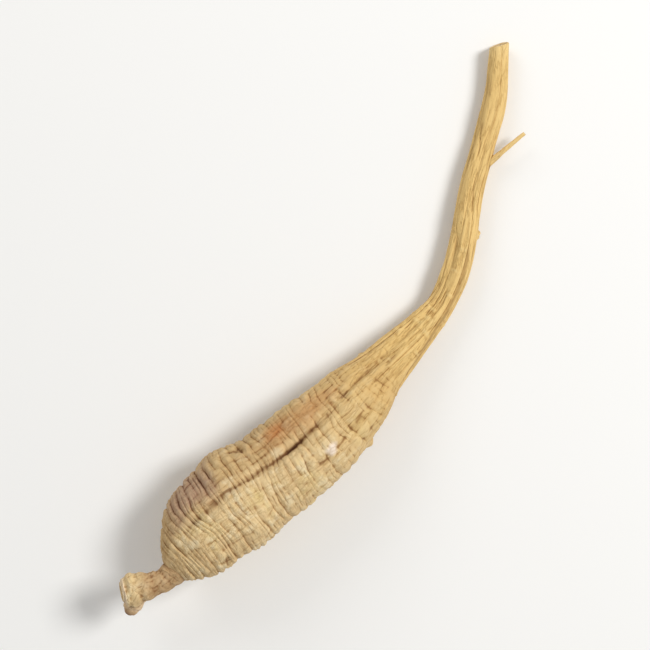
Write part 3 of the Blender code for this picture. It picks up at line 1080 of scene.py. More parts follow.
@dataclass
class Neck:
    """Rhizome neck, ringed by its leaf scars, ending in the cup that the stem left.

    Attributes:
        line: x, y, z and radius of its points, from inside the shoulder to the cup.
        rings: Rings round it.
        ring_depth: Their depth.
        ring_tilt: How far they lean, in radians of their wave.
        oval: How far it is from round, as a share of its radius.
        leaf_scars: Places along the line, as shares of it, and degrees.
        scar_size: Half sizes round it and along it, in radians.
        scar_height: How far a leaf scar stands out.
        scar_pit: The pit in its middle: depth and size as shares of the scar's.
        lumps: Small lumps.
        folds: Noise that folds it where it passes nought.
        fold_width: How far that noise may be from nought inside a fold.
        fold_depth: Depth of the folds.
        cup_reach: How far in from the rim the cup's last row is, as a share of its radius.
        cup_rim: Share of the way in that the round rim takes.
        cup_rise: How far the rim stands up.
        cup_wall: Shares of the way in where the wall sets in and where it ends.
        cup_depth: Depth of the cup.
        bead_count: Beads of the vessels' ends.
        bead_ring: Where they are and how wide, as shares of the radius.
        bead_height: Their height.
        ragged: Noise of the cup, and its height.
        face_edge: Share of the way in where the broken flesh shows fully.
        brown: Shares of the line between which the rhizome's brown bark gives way.
        brown_loss: How much of it does.
        pale: The paler rim, rubbed and with a painted highlight: how pale, how many rows before the
        cup, and how many rows wide.
        grain_start: Where its grain starts, in millimetres.
        sides: Columns of points.
        rows: Rows of points.
        cup_rows: Rows of the cup.
    """

    line: Table = (
        (8.2, -3.0, 6.5, 2.05),
        (6.2, -2.9, 6.6, 1.90),
        (4.6, -2.6, 6.7, 1.58),
        (3.3, -2.1, 6.9, 1.38),
        (2.1, -1.1, 7.1, 1.62),
        (1.1, -0.2, 7.3, 1.86),
        (0.4, 0.5, 7.5, 1.62),
        (0.1, 0.8, 7.6, 1.28),
    )
    rings: int = 6
    ring_depth: float = 0.16
    ring_tilt: float = 0.5
    oval: float = 0.06
    leaf_scars: Table = (
        (0.30, 65.0), (0.44, -110.0), (0.55, 40.0), (0.66, 170.0), (0.78, -60.0), (0.80, 80.0),
    )
    scar_size: Span = (0.62, 0.42)
    scar_height: float = 0.30
    scar_pit: Span = (0.7, 0.5)
    lumps: Lumps = ((0.10, RoundNoise(51, 7, 0.35)), (0.035, RoundNoise(52, 16, 0.18)))
    folds: RoundNoise = RoundNoise(53, 12, 0.9)
    fold_width: float = 0.25
    fold_depth: float = 0.06
    cup_reach: float = 0.94
    cup_rim: float = 0.26
    cup_rise: float = 0.10
    cup_wall: Span = (0.12, 0.70)
    cup_depth: float = 0.55
    bead_count: int = 8
    bead_ring: Span = (0.42, 0.10)
    bead_height: float = 0.07
    ragged: Lumps = ((0.10, RoundNoise(54, 9, 0.5)),)
    face_edge: float = 0.2
    brown: Span = (0.50, 0.72)
    brown_loss: float = 0.95
    pale: tuple[float, int, float] = (0.54, 5, 12.0)
    grain_start: float = -20.0
    sides: int = 64
    rows: int = 92
    cup_rows: int = 16

    def relief(self, angle: Array, turn: Array) -> Array:
        """Rings that are cosines along the neck, leaf scars that are bells with a pit, and noises.

        Args:
            angle: Angles round the neck.
            turn: Places along it, from 0 to a whole turn.

        Returns:
            Heights in millimetres.
        """
        tilt = np.sin(angle) + self.ring_tilt * np.sin(2 * angle + turn)
        relief = lumps_at(self.lumps, angle, turn)
        relief = relief - self.ring_depth * (1 + np.cos(self.rings * turn + tilt)) / 2
        round_size, along_size = self.scar_size
        pit_depth, pit_size = self.scar_pit
        for place, degrees in self.leaf_scars:
            across, along = angle_from(angle, degrees) / round_size, (turn - TURN * place) / along_size
            gap = np.hypot(across, along)
            relief = relief + self.scar_height * (bell(gap) - pit_depth * bell(gap / pit_size))
        return relief - self.fold_depth * nearness(self.folds.at(angle, turn), self.fold_width)

    def cup(self, angle: Array, share: Array) -> tuple[Array, Array]:
        """The cup's profile: over a round rim, down an eased wall, and a ring of low beads.

        The beads stand where the stem's bundles of vessels ended.

        Args:
            angle: Angles round the cup.
            share: Share of the way in from the rim.

        Returns:
            The share of the radius and the height in millimetres.
        """
        reach = 1 - share * self.cup_reach
        rise = self.cup_rise * np.sin(math.pi * np.clip(share / self.cup_rim, 0, 1))
        place, width = self.bead_ring
        beads = bell((reach - place) / width) * np.clip(np.sin(self.bead_count * angle), 0, 1)
        ragged = lumps_at(self.ragged, angle, share) * np.sin(math.pi * share)
        wall = self.cup_depth * ease(share, *self.cup_wall)
        return reach, rise - wall + self.bead_height * beads + ragged

    def tube(self) -> Tube:
        """Builds the neck round its line, and the cup at its end, with their marks.

        Returns:
            The neck's closed surface.
        """
        middles, radii = line_through(self.line, self.rows)
        angle = TURN * np.arange(self.sides) / self.sides
        turn = np.linspace(0, TURN, self.rows)[:, None]
        radii = (radii + self.relief(angle, turn)) * (1 + self.oval * np.sin(2 * angle + turn))
        rows, along = rows_round(middles, radii)
        tip, out = middles[-1], along[-1]
        share = np.linspace(0, 1, self.cup_rows)[:, None]
        reach, height = self.cup(angle, share)
        cup = (tip + (rows[-1] - tip) * reach[..., None] + out * height[..., None])[1:]
        rows = np.concatenate([rows, cup])
        number = np.arange(len(rows))[:, None]
        paleness, before, width = self.pale
        shape, cup_shape = rows.shape[:2], cup.shape[:2]
        flesh = ease(share[1:], 0.0, self.face_edge)
        marks = {
            # The paler rim before the cup: rubbed, and partly a painted highlight.
            "knob": np.broadcast_to(paleness * bell((number - self.rows + before) / width), shape),
            "face": after_rows(0.0, self.rows, np.broadcast_to(flesh, cup_shape)),
            "core": after_rows(1.0, self.rows, np.broadcast_to(reach[1:], cup_shape)),
            "rhizome": np.broadcast_to(1 - self.brown_loss * ease(number / self.rows, *self.brown), shape),
        }
        pole = tip - out * self.cup_depth
        return Tube(Kind.NECK, rows, (middles[0], pole), local_grain(rows, self.grain_start), marks)


@dataclass
class Bud:
    """Dormant bud beside the cup, wrapped in small pointed scales.

    Attributes:
        line: x, y, z and radius of its points, from inside the neck to its tip.
        tip: How far the closing point stands past the line.
        scales: Scales along it.
        scale_step: The step at a scale's edge.
        scale_edge: Share of a scale's length from which on it sinks to the next one.
        scale_waves: Waves of the edges: count, share and phase.
        lumps: Small lumps.
        smooth_tip: Share of its length at the tip over which the relief fades away.
        brown: Shares of its length between which it turns brown.
        pale: How pale its bark is before that.
        warm: How orange it is.
        dark: How purple-brown it is before that, and how much more at the tip.
        grain_start: Where its grain starts, in millimetres.
        sides: Columns of points.
        rows: Rows of points.
    """

    line: Table = (
        (1.3, -0.9, 6.6, 0.85),
        (0.3, -1.0, 6.35, 1.04),
        (-0.6, -1.05, 6.1, 1.06),
        (-1.4, -1.1, 5.85, 0.84),
        (-1.85, -1.1, 5.72, 0.45),
    )
    tip: float = 0.12
    scales: int = 3
    scale_step: float = 0.16
    scale_edge: float = 0.86
    scale_waves: Table = ((1, 0.32, 0.8), (2, 0.12, 0.0))
    lumps: Lumps = ((0.07, RoundNoise(61, 7, 0.22)), (0.04, RoundNoise(62, 16, 0.30)))
    smooth_tip: float = 0.12
    brown: Span = (0.52, 0.82)
    pale: float = 0.42
    warm: float = 0.20
    dark: Span = (0.15, 0.85)
    grain_start: float = -40.0
    sides: int = 40
    rows: int = 50

    def tube(self) -> Tube:
        """Builds the bud: each scale thickens evenly towards its edge and ends in an eased step.

        Returns:
            The bud's closed surface.
        """
        middles, radii = line_through(self.line, self.rows)
        angle = TURN * np.arange(self.sides) / self.sides
        share = np.linspace(0, 1, self.rows)[:, None]
        waves = sum(height * np.sin(count * angle + phase) for count, height, phase in self.scale_waves)
        edge = share * self.scales + waves
        step = edge - np.floor(edge)
        relief = self.scale_step * (step - ease(step, self.scale_edge, 1.0) - 0.5)
        relief = (relief + lumps_at(self.lumps, angle, share)) * ease(share, 1.0, 1 - self.smooth_tip)
        rows, along = rows_round(middles, radii + relief)
        brown = ease(share, *self.brown)
        dark, darker = self.dark
        shape = rows.shape[:2]
        marks = {
            "knob": np.broadcast_to(self.pale * (1 - brown), shape),
            "blush": np.full(shape, self.warm),
            "bruise": np.broadcast_to(dark + darker * brown, shape),
            "pit": np.broadcast_to(brown, shape),
        }
        pole = middles[-1] + along[-1] * self.tip
        return Tube(Kind.BUD, rows, (middles[0], pole), local_grain(rows, self.grain_start), marks)


@dataclass
class RootletStub:
    """A side rootlet snapped off short, leaning towards the tail.

    Attributes:
        distance: Its place along the main root.
        degrees: Its angle round the main root.
        radius: Its radius at the skin.
        length: How far it stands out.
        lean: How much it leans towards the tail, as the tangent of the lean.
        bend: How far its end is bent down towards the table.
        profile: Its radius as a share of the first one, by the share of its length.
        sunk: How deep its foot is sunk in the root.
        folds: Its wrinkles: share of the radius, columns and cell of the noise.
        fray: The broken end's roughness, by the same three numbers.
        dish: How far the broken end has sunk.
        first_seed: Seed of the noises of a stub at the pole of the shoulder.
        grain_start: Where the grain of such a stub starts, in millimetres.
        sides: Columns of points.
        rows: Rows of points.
        face_rows: Rows of the broken end, with its rim.
        face_reach: Share of the radius of the last of them.
    """

    distance: float
    degrees: float
    radius: float
    length: float
    lean: float
    bend: float = 0.0
    profile: Table = ((0.0, 1.45), (0.3, 1.05), (1.0, 0.72))
    sunk: float = 0.9
    folds: tuple[tuple[float, int, float], ...] = ((0.10, 9, 0.8), (0.05, 16, 0.4))
    fray: tuple[float, int, float] = (0.25, 11, 0.3)
    dish: float = 0.12
    first_seed: int = 70
    grain_start: float = 100.0
    sides: int = 30
    rows: int = 30
    face_rows: int = 7
    face_reach: float = 0.06

    def roughness(self) -> Lumps:
        """The noises of its wrinkles and then of its broken end, each with a seed of its own.

        Returns:
            The height and the noise of each.
        """
        first = self.first_seed + int(self.distance)
        return tuple(
            (height, RoundNoise(first + i, columns, cell))
            for i, (height, columns, cell) in enumerate((*self.folds, self.fray))
        )

    def tube(self, root: MainRoot) -> Tube:
        """Builds the stub: a wrinkled cone flared into the bark, with a frayed broken end.

        Args:
            root: The main root that it grows from.

        Returns:
            The stub's closed surface.
        """
        angle = math.radians(self.degrees)
        number = root.rings.number_at(self.distance)
        _, along, across, up = (part[0] for part in root.axes(np.array([self.distance])))
        out = across * math.sin(angle) + up * math.cos(angle) + along * self.lean
        out /= np.linalg.norm(out)
        foot = root.surface(np.array(number), np.array(angle))[0]
        reach = np.linspace(-self.sunk, self.length, self.rows)
        share = np.clip(reach / self.length, 0, 1)
        around = TURN * np.arange(self.sides) / self.sides
        *folds, fray = self.roughness()
        wrinkles = lumps_at(tuple(folds), around, reach[:, None])
        radii = self.radius * (read_table(self.profile, share)[:, None] + wrinkles)
        line = foot + out * reach[:, None] - [0.0, 0.0, self.bend] * share[:, None] ** 2
        rows, along = rows_round(line, radii)
        tip, out = line[-1], along[-1]
        inwards = np.linspace(1, self.face_reach, self.face_rows)[1:, None]
        frayed = self.radius * lumps_at((fray,), around, inwards) * np.sin(math.pi * inwards)
        sink = self.dish * (1 - inwards**2) - frayed
        face = tip + (rows[-1] - tip) * inwards[..., None] - out * sink[..., None]
        rows = np.concatenate([rows, face])
        marks = {
            "tail": np.full(rows.shape[:2], root.tail_share(self.distance)),
            "face": after_rows(0.0, self.rows, np.ones(face.shape[:2])),
            "core": after_rows(1.0, self.rows, np.broadcast_to(inwards, face.shape[:2])),
        }
        grain = local_grain(rows, self.grain_start + self.distance)
        return Tube(Kind.STUB, rows, (line[0], tip - out * self.dish), grain, marks)


@dataclass
class MeshNet:
    """The points and edges of a mesh as arrays, for smoothing along its edges.

    Attributes:
        mesh: The mesh that is read and written.
    """

    mesh: bpy.types.Mesh

    def __post_init__(self) -> None:
        """Reads the edges' ends."""
        self.count = len(self.mesh.vertices)
        ends = np.empty(len(self.mesh.edges) * 2, np.int32)
        self.mesh.edges.foreach_get("vertices", ends)
        self.ends = ends.reshape(-1, 2)

    def vectors(self, kind: str) -> Array:
        """Reads the points' places or their normals.

        Args:
            kind: "co" for the places, or "normal".

        Returns:
            A row of x, y and z for each point.
        """
        flat = np.empty(self.count * 3, np.float32)
        self.mesh.vertices.foreach_get(kind, flat)
        return flat.reshape(-1, 3).astype(float)

    def move_to(self, points: Array) -> None:
        """Moves the points to new places."""
        self.mesh.vertices.foreach_set("co", points.astype(np.float32).ravel())
        self.mesh.update()

    def read(self, name: str, size: int = 1) -> Array:
        """Reads a point attribute.

        Args:
            name: The attribute's name.
            size: How many numbers it holds for each point, 1 or 3.

        Returns:
            A row for each point.
        """
        flat = np.empty(self.count * size, np.float32)
        key = "value" if size == 1 else "vector"
        self.mesh.attributes[name].data.foreach_get(key, flat)
        return flat.reshape(-1, size).astype(float)

    def write(self, name: str, values: Array) -> None:
        """Writes a point attribute, and makes it first where it isn't there.

        Args:
            name: The attribute's name.
            values: A row for each point, of one number or three.
        """
        kind, key = ("FLOAT", "value") if values.shape[-1] == 1 else ("FLOAT_VECTOR", "vector")
        there = self.mesh.attributes.get(name) or self.mesh.attributes.new(name, kind, "POINT")
        there.data.foreach_set(key, values.astype(np.float32).ravel())

    def mean_beside(self, values: Array, weights: Array | None = None) -> Array:
        """Mean of each point's neighbours, each counted by its weight.

        Args:
            values: One row for each point.
            weights: One weight for each point, or none for all alike.

        Returns:
            One row of means for each point, and noughts where no neighbour counts.
        """
        weights = np.ones(self.count) if weights is None else weights
        one, other = self.ends.T
        total = np.bincount(one, weights[other], self.count) + np.bincount(other, weights[one], self.count)
        sums = [
            np.bincount(one, (column * weights)[other], self.count)
            + np.bincount(other, (column * weights)[one], self.count)
            for column in values.T
        ]
        return np.stack(sums, -1) / np.maximum(total, 1e-9)[:, None]


def add_node(
    tree: bpy.types.NodeTree, kind: str, inputs: dict | None = None, **settings: object
) -> bpy.types.Node:
    """Adds a node to a tree, with its settings, its values and its links.

    Args:
        tree: The tree to add to.
        kind: The node's type.
        inputs: For each input, by name or number, a value or the output that feeds it.
        settings: The node's own settings.

    Returns:
        The new node.
    """
    node = tree.nodes.new(kind)
    for name, value in settings.items():
        setattr(node, name, value)
    for name, value in (inputs or {}).items():
        if isinstance(value, bpy.types.NodeSocket):
            tree.links.new(value, node.inputs[name])
        else:
            node.inputs[name].default_value = value
    return node


class Blend(Enum):
    """How a layer changes the colour below it."""

    COVER = "MIX"
    # Multiplies: darker fine grain lines, and painted shade in grooves and folds.
    STAIN = "MULTIPLY"
    # Screens: paler rubbed welts, and painted highlight on ridges.
    BLEACH = "SCREEN"


@dataclass(frozen=True)
class Layer:
    """One colour laid over the ones below it.

    Attributes:
        colour: The colour, as "#RRGGBB".
        source: The mark or pattern that says where it lies.
        start: The source's value where the colour sets in.
        full: The source's value from which on it is at its strongest.
        amount: How strong it is there.
        blend: How it changes the colour below it.
    """

    colour: str
    source: str
    start: float
    full: float
    amount: float
    blend: Blend = Blend.COVER


@dataclass(frozen=True)
class Pattern:
    """A noise of a real size along the grain of the wood.

    Attributes:
        millimetres: Size of its cells across the grain.
        stretch: How often its cells repeat along, across and up, against that size.
        detail: How many finer noises are laid on it.
        lines: Whether its lines, where it passes its middle, are read and not its height.
    """

    millimetres: float
    stretch: tuple[float, float, float] = (1.0, 1.0, 1.0)
    detail: float = 2.0
    lines: bool = False


@dataclass(frozen=True)
class DriedBark:
    """Sun-dried root bark: the cork of a root that was washed, not peeled, and dried whole.

    To the eye it is golden tan, rubbed pale on its ridges, and brown in its grooves, which keep
    more cork. Its colour also holds painted light: a painted highlight on the ridges, and painted
    shade in the grooves, the folds, the pits and the cracks of a cut. Dry cork is dull, as its pores
    scatter the light, and only ridges that are rubbed have a faint waxy gloss. Where a cut or a break
    opens it, it shows a cream starchy flesh with a darker ring of cambium.

    Attributes:
        tan: The bark's main colour.
        flesh: The flesh's main colour.
        layers: What lies over the bark's colour, from the lowest up.
        face_layers: What lies over the flesh's colour, from the lowest up.
        patterns: The noises that the layers read.
        roughness: The roughness that the noises take from one finer noise to the next.
        crack_fade: How much the cracks across the root fade on the tail.
        gloss_range: Relief from a groove to a rubbed ridge, as a share of full relief.
        dull: Roughness of a groove, typical of dry cork.
        waxy: Roughness of a rubbed ridge.
        specular: Level of the mirror reflection. It is under the usual 0.5, as pores take some.
        bump_mm: Height of the bump, in millimetres.
        bump_strength: How much of it shows.
        line_width: How far a line's noise may be from its middle inside the line.
        line_depth: Depth of the lines, as a share of the bump.
    """

    tan: str = "#DDBF8C"
    flesh: str = "#EDDAB0"
    layers: tuple[Layer, ...] = (
        # Uneven drying and rubbed cork: warm and greenish blotches, pale and brown flecks.
        Layer("#C29C68", "blotches", 0.46, 0.70, 0.50),
        Layer("#DCC67E", "blotches", 0.46, 0.28, 0.50),
        Layer("#ECDBB4", "flecks", 0.54, 0.68, 0.55),
        Layer("#C6A273", "flecks", 0.44, 0.30, 0.45),
        # Regions: the yellower tail, the lobe above the fold (browner bark and painted shade), the two
        # patches, the neck and pale knobs.
        Layer("#CEA765", "tail", 0.0, 0.60, 0.80),
        Layer("#E6C27C", "tail", 0.70, 1.0, 0.85),
        # The lobe above the fold: browner bark, and painted shade of the side away from the light.
        Layer("#AF8A55", "stain", 0.0, 1.0, 0.55),
        # A darker purple-brown patch on the shoulder, and the bud's purple-brown.
        Layer("#A07B69", "bruise", 0.0, 1.0, 0.74),
        Layer("#BE7A40", "blush", 0.0, 1.0, 0.90),
        Layer("#A98158", "rhizome", 0.0, 1.0, 0.75),
        # Paler knobs, bud and rim of the cup; on the cup's rim partly a painted highlight.
        Layer("#F4E2D4", "knob", 0.28, 0.80, 0.80),
        # Fine grain: fibres and shrinkage lines along the root, and cracks across it.
        Layer("#CDB79C", "fibres", 0.55, 0.76, 0.45, Blend.STAIN),
        Layer("#C6B184", "veins", 0.036, 0.0, 0.40, Blend.STAIN),
        Layer("#C8AE8C", "cracks", 0.030, 0.0, 0.20, Blend.STAIN),
        # Relief: welts are rubbed pale. Ridges are paler, partly rubbed and partly painted highlight;
        # grooves are browner, partly cork and partly painted shade; folds and pits get painted shade.
        Layer("#5A4C34", "welt", 0.30, 0.90, 0.60, Blend.BLEACH),
        # Ridges paler: rubbed, and painted highlight.
        Layer("#5E5138", "broad", 0.05, 0.90, 0.65, Blend.BLEACH),
        Layer("#5E5138", "fine", 0.15, 1.00, 0.60, Blend.BLEACH),
        # Grooves darker: brown cork, and painted shade.
        Layer("#B89A78", "fine", -0.05, -1.00, 0.75, Blend.STAIN),
        Layer("#A58462", "broad", -0.12, -1.00, 0.80, Blend.STAIN),
        # Painted shade along the bottoms of the furrows.
        Layer("#8A6848", "fold", 0.10, 0.90, 0.80, Blend.STAIN),
        # Painted shade in the scar pits, and the bud's brown tip.
        Layer("#6A4A2E", "pit", 0.30, 1.0, 0.35),
        Layer("#966F3C", "specks", 0.62, 0.76, 0.30),
    )
    face_layers: tuple[Layer, ...] = (
        # The darker ring of cambium, the tan rind outside it, fibres, and painted shade in the cracks.
        Layer("#B58A50", "core", 0.55, 0.72, 0.80),
        Layer("#DDC08A", "core", 0.76, 0.90, 0.90),
        Layer("#B9935F", "fibres", 0.50, 0.74, 0.45),
        # Painted shade in the cracks of the cut face.
        Layer("#7A5836", "broad", -0.20, -1.0, 0.60),
    )
    # Real bark fibres are about 0.03 mm across and pores 0.1 mm. Both are drawn coarser, to show.
    patterns: tuple[tuple[str, Pattern], ...] = (
        ("blotches", Pattern(5.0, detail=4.0)),
        ("flecks", Pattern(1.7)),
        ("fibres", Pattern(0.45, (0.16, 1.0, 1.0), 3.0)),
        ("veins", Pattern(1.10, (0.20, 1.0, 1.0), 3.0, lines=True)),
        ("cracks", Pattern(0.90, (1.0, 0.22, 0.22), 3.0, lines=True)),
        ("specks", Pattern(0.28)),
    )
    roughness: float = 0.6
    crack_fade: float = 0.10
    gloss_range: Span = (-0.2, 0.6)
    dull: float = 0.85
    waxy: float = 0.66
    specular: float = 0.35
    bump_mm: float = 0.10
    bump_strength: float = 0.7
    line_width: float = 0.05
    line_depth: float = 0.8

    def sources(self, tree: bpy.types.NodeTree) -> dict[str, bpy.types.NodeSocket]:
        """The skin's marks, and the patterns along the grain of the wood.

        A pattern of lines reads how far its noise is from its middle. The cracks' reading grows
        on the tail, where they fade.

        Args:
            tree: The material's tree.

        Returns:
            The output to read for each source's name.
        """
        grain = add_node(tree, "ShaderNodeAttribute", attribute_name="grain").outputs["Vector"]
        found = {}
        for name, pattern in self.patterns:
            place = add_node(
                tree, "ShaderNodeVectorMath", {0: grain, 1: pattern.stretch}, operation="MULTIPLY"
            )
            noise = add_node(tree, "ShaderNodeTexNoise", {
                "Vector": place.outputs[0], "Scale": 1 / pattern.millimetres,
                "Detail": pattern.detail, "Roughness": self.roughness,
            })
            found[name] = noise.outputs["Fac"]
            if pattern.lines:
                gap = add_node(tree, "ShaderNodeMath", {0: found[name], 1: 0.5}, operation="SUBTRACT")
                away = add_node(tree, "ShaderNodeMath", {0: gap.outputs[0]}, operation="ABSOLUTE")
                found[name] = away.outputs[0]
        marks = {layer.source for layer in (*self.layers, *self.face_layers)} | {"face"}
        for name in sorted(marks - set(found)):
            found[name] = add_node(tree, "ShaderNodeAttribute", attribute_name=name).outputs["Fac"]
        faded = add_node(
            tree, "ShaderNodeMath", {0: found["tail"], 1: self.crack_fade, 2: found["cracks"]},
            operation="MULTIPLY_ADD",
        )
        found["cracks"] = faded.outputs[0]
        return found

    def paint(
        self, tree: bpy.types.NodeTree, base: str, layers: tuple[Layer, ...],
        sources: dict[str, bpy.types.NodeSocket],
    ) -> bpy.types.NodeSocket:
        """Lays the layers over a base colour, one after the other.

        Args:
            tree: The material's tree.
            base: The base colour, as "#RRGGBB".
            layers: The layers, from the lowest up.
            sources: The output to read for each source's name.

        Returns:
            The painted colour.
        """
        below: tuple[float, ...] | bpy.types.NodeSocket = linear(base)
        for layer in layers:
            cover = add_node(tree, "ShaderNodeMapRange", {
                "Value": sources[layer.source], "From Min": layer.start, "From Max": layer.full,
                "To Min": 0.0, "To Max": layer.amount,
            })
            mixed = add_node(
                tree, "ShaderNodeMix", {0: cover.outputs[0], 6: below, 7: linear(layer.colour)},
                data_type="RGBA", blend_type=layer.blend.value,
            )
            below = mixed.outputs[2]
        return below

    def bump(
        self, tree: bpy.types.NodeTree, sources: dict[str, bpy.types.NodeSocket]
    ) -> bpy.types.NodeSocket:
        """The fine bump: fibres and specks stand up, and the lines are sunk.

        Args:
            tree: The material's tree.
            sources: The output to read for each source's name.

        Returns:
            The bent normal.
        """
        lines = add_node(
            tree, "ShaderNodeMath", {0: sources["veins"], 1: sources["cracks"]}, operation="MINIMUM"
        )
        sunk = add_node(tree, "ShaderNodeMapRange", {
            "Value": lines.outputs[0], "From Min": 0.0, "From Max": self.line_width,
            "To Min": -self.line_depth, "To Max": 0.0,
        })
        raised = add_node(
            tree, "ShaderNodeMath", {0: sources["fibres"], 1: sources["specks"]}, operation="ADD"
        )
        height = add_node(
            tree, "ShaderNodeMath", {0: raised.outputs[0], 1: sunk.outputs[0]}, operation="ADD"
        )
        return add_node(tree, "ShaderNodeBump", {
            "Height": height.outputs[0], "Strength": self.bump_strength, "Distance": self.bump_mm * MM,
        }).outputs["Normal"]

    def material(self) -> bpy.types.Material:
        """Builds the finish: painted bark and flesh, gloss on the ridges, and the fine bump.

        Returns:
            The material.
        """
        material = bpy.data.materials.new("sun_dried_root_bark")
        material.use_nodes = True
        tree = material.node_tree
        shader = tree.nodes["Principled BSDF"]
        sources = self.sources(tree)
        bark = self.paint(tree, self.tan, self.layers, sources)
        flesh = self.paint(tree, self.flesh, self.face_layers, sources)
        colour = add_node(tree, "ShaderNodeMix", {0: sources["face"], 6: bark, 7: flesh}, data_type="RGBA")
        groove, ridge = self.gloss_range
        gloss = add_node(tree, "ShaderNodeMapRange", {
            "Value": sources["broad"], "From Min": groove, "From Max": ridge,
            "To Min": self.dull, "To Max": self.waxy,
        })
        tree.links.new(colour.outputs[2], shader.inputs["Base Color"])
        tree.links.new(gloss.outputs[0], shader.inputs["Roughness"])
        tree.links.new(self.bump(tree, sources), shader.inputs["Normal"])
        shader.inputs["Specular IOR Level"].default_value = self.specular
        return material


@dataclass
class GinsengSkin:
    """The whole skin of the root, grown together from its main root, neck, bud and stubs.

    Attributes:
        root: The main root.
        neck: The rhizome neck.
        bud: The dormant bud.
        stubs: The side rootlets.
        bark: The finish.
        marks: The marks that every point carries.
        fill_passes: Steps in which marks reach the points made at a seam.
        seam_steps: Edges away from a seam that the softening reaches.
        seam_gain: How strongly nearness to a seam passes along the edges.
        seam_spread: The share of it that is left after each edge.
        seam_passes: Passes of the softening.
        seam_pull: Share of the way to its neighbours' mean that a pass moves a seam's point.
        fine_passes: Smoothing passes below the small relief.
        broad_passes: Smoothing passes below the large relief.
        fine_height: Height that counts as full small relief, in millimetres.
        broad_height: Height that counts as full large relief, in millimetres.
    """

    root: MainRoot = field(default_factory=MainRoot)
    neck: Neck = field(default_factory=Neck)
    bud: Bud = field(default_factory=Bud)
    stubs: tuple[RootletStub, ...] = (
        RootletStub(26.5, -112.0, 0.85, 1.0, 0.8),
        RootletStub(33.0, 134.0, 0.72, 0.9, 0.9),
        RootletStub(41.0, 138.0, 0.55, 0.7, 1.2),
        RootletStub(52.5, -122.0, 0.44, 0.6, 1.3),
        RootletStub(61.3, -75.0, 0.30, 5.2, 1.4, bend=0.3),
    )
    bark: DriedBark = DriedBark()
    marks: tuple[str, ...] = (
        "blush", "bruise", "fold", "pit", "knob", "welt", "stain", "tail", "face", "core", "rhizome",
    )
    fill_passes: int = 4
    seam_steps: int = 5
    seam_gain: float = 2.0
    seam_spread: float = 0.86
    seam_passes: int = 8
    seam_pull: float = 0.6
    fine_passes: int = 4
    broad_passes: int = 26
    fine_height: float = 0.025
    broad_height: float = 0.15

    def build(self) -> bpy.types.Object:
        """Joins the tubes, softens the seams, sets the skin in the solid's box and marks relief.

        Returns:
            The finished skin, linked to the scene.
        """
        skin = self.root.tube().make("ginseng_root_skin", self.marks)
        bpy.context.scene.collection.objects.link(skin)
        growths = [self.neck.tube(), self.bud.tube(), *(stub.tube(self.root) for stub in self.stubs)]
        self.grow_together(skin, growths)
        net = MeshNet(skin.data)
        # The union's own points read as a seam, and all others as the kind of their tube.
        old = (net.read("kind")[:, 0] > (Kind.SEAM.value + Kind.ROOT.value) / 2).astype(float)
        self.fill_marks(net, old)
        self.soften_seams(net, 1 - old)
        self.set_in_box(net)
        self.mark_relief(net)
        skin.data.shade_smooth()
        return skin

    def dress(self, skin: bpy.types.Object) -> None:
        """Gives the skin its finish, sets it on the body that it rides on, and hides the solid that it
        stands for.

        Args:
            skin: The finished skin.
        """
        skin.data.materials.clear()
        skin.data.materials.append(self.bark.material())
        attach(skin, "root")
        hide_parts(ROOT_NODE)

    def grow_together(self, skin: bpy.types.Object, growths: list[Tube]) -> None:
        """Joins the growths to the skin by one union, so that no face is left inside.

        Args:
            skin: The main root, which becomes the whole skin.
            growths: What grows from it, each sunk into it.
        """
        group = bpy.data.collections.new("growths")
        bpy.context.scene.collection.children.link(group)
        for tube in growths:
            group.objects.link(tube.make(tube.kind.name.lower(), self.marks))
            log.info("%s: %d rows of %d points", tube.kind.name.lower(), *tube.rows.shape[:2])
        union = skin.modifiers.new("grow_together", "BOOLEAN")
        union.operation = "UNION"
        union.operand_type = "COLLECTION"
        union.collection = group
        union.solver = "MANIFOLD"
        graph = bpy.context.evaluated_depsgraph_get()
        joined = bpy.data.meshes.new_from_object(skin.evaluated_get(graph))
        skin.modifiers.remove(union)
        self.drop_doublets(joined)
        skin.data = joined
        for piece in list(group.objects):
            bpy.data.objects.remove(piece)
        bpy.data.collections.remove(group)

    @staticmethod
    def drop_doublets(mesh: bpy.types.Mesh) -> None:
        """Takes out the points that only two edges meet at, as two faces fold flat there.

        Args:
            mesh: The joined mesh.
        """
        shape = bmesh.new()
        shape.from_mesh(mesh)
        while doublets := [point for point in shape.verts if len(point.link_edges) < 3]:
            log.info("doublets at the seams: %d", len(doublets))
            bmesh.ops.dissolve_verts(shape, verts=doublets)
        shape.to_mesh(mesh)
        shape.free()

    def fill_marks(self, net: MeshNet, old: Array) -> None:
        """Gives the points made at the seams the mean marks of the old points beside them.

        Args:
            net: The joined mesh.
            old: 1 for each point that a tube brought, and 0 for one that the union made.
        """
        for name, size in [("grain", 3), *((mark, 1) for mark in self.marks)]:
            values = net.read(name, size)
            known = old.copy()
            for _ in range(self.fill_passes):
                filled = net.mean_beside(values, known)
                reached = net.mean_beside(known[:, None])[:, 0] > 0
                take = (known < 0.5) & reached
                values[take] = filled[take]
                known[take] = 1.0
            net.write(name, values)

    def soften_seams(self, net: MeshNet, near: Array) -> None:
        """Rounds the creases at the seams.

        Nearness to a seam spreads from it along the edges, and each pass moves a point by that
        share of a fixed pull towards the mean of its neighbours.

        Args:
            net: The joined mesh.
            near: 1 for each point that the union made, and 0 for the others.
        """
        for _ in range(self.seam_steps):
            beside = self.seam_gain * net.mean_beside(near[:, None])[:, 0]
            near = np.maximum(near, self.seam_spread * np.minimum(1, beside))
        points = net.vectors("co")
        for _ in range(self.seam_passes):
            points += self.seam_pull * near[:, None] * (net.mean_beside(points) - points)
        net.move_to(points)

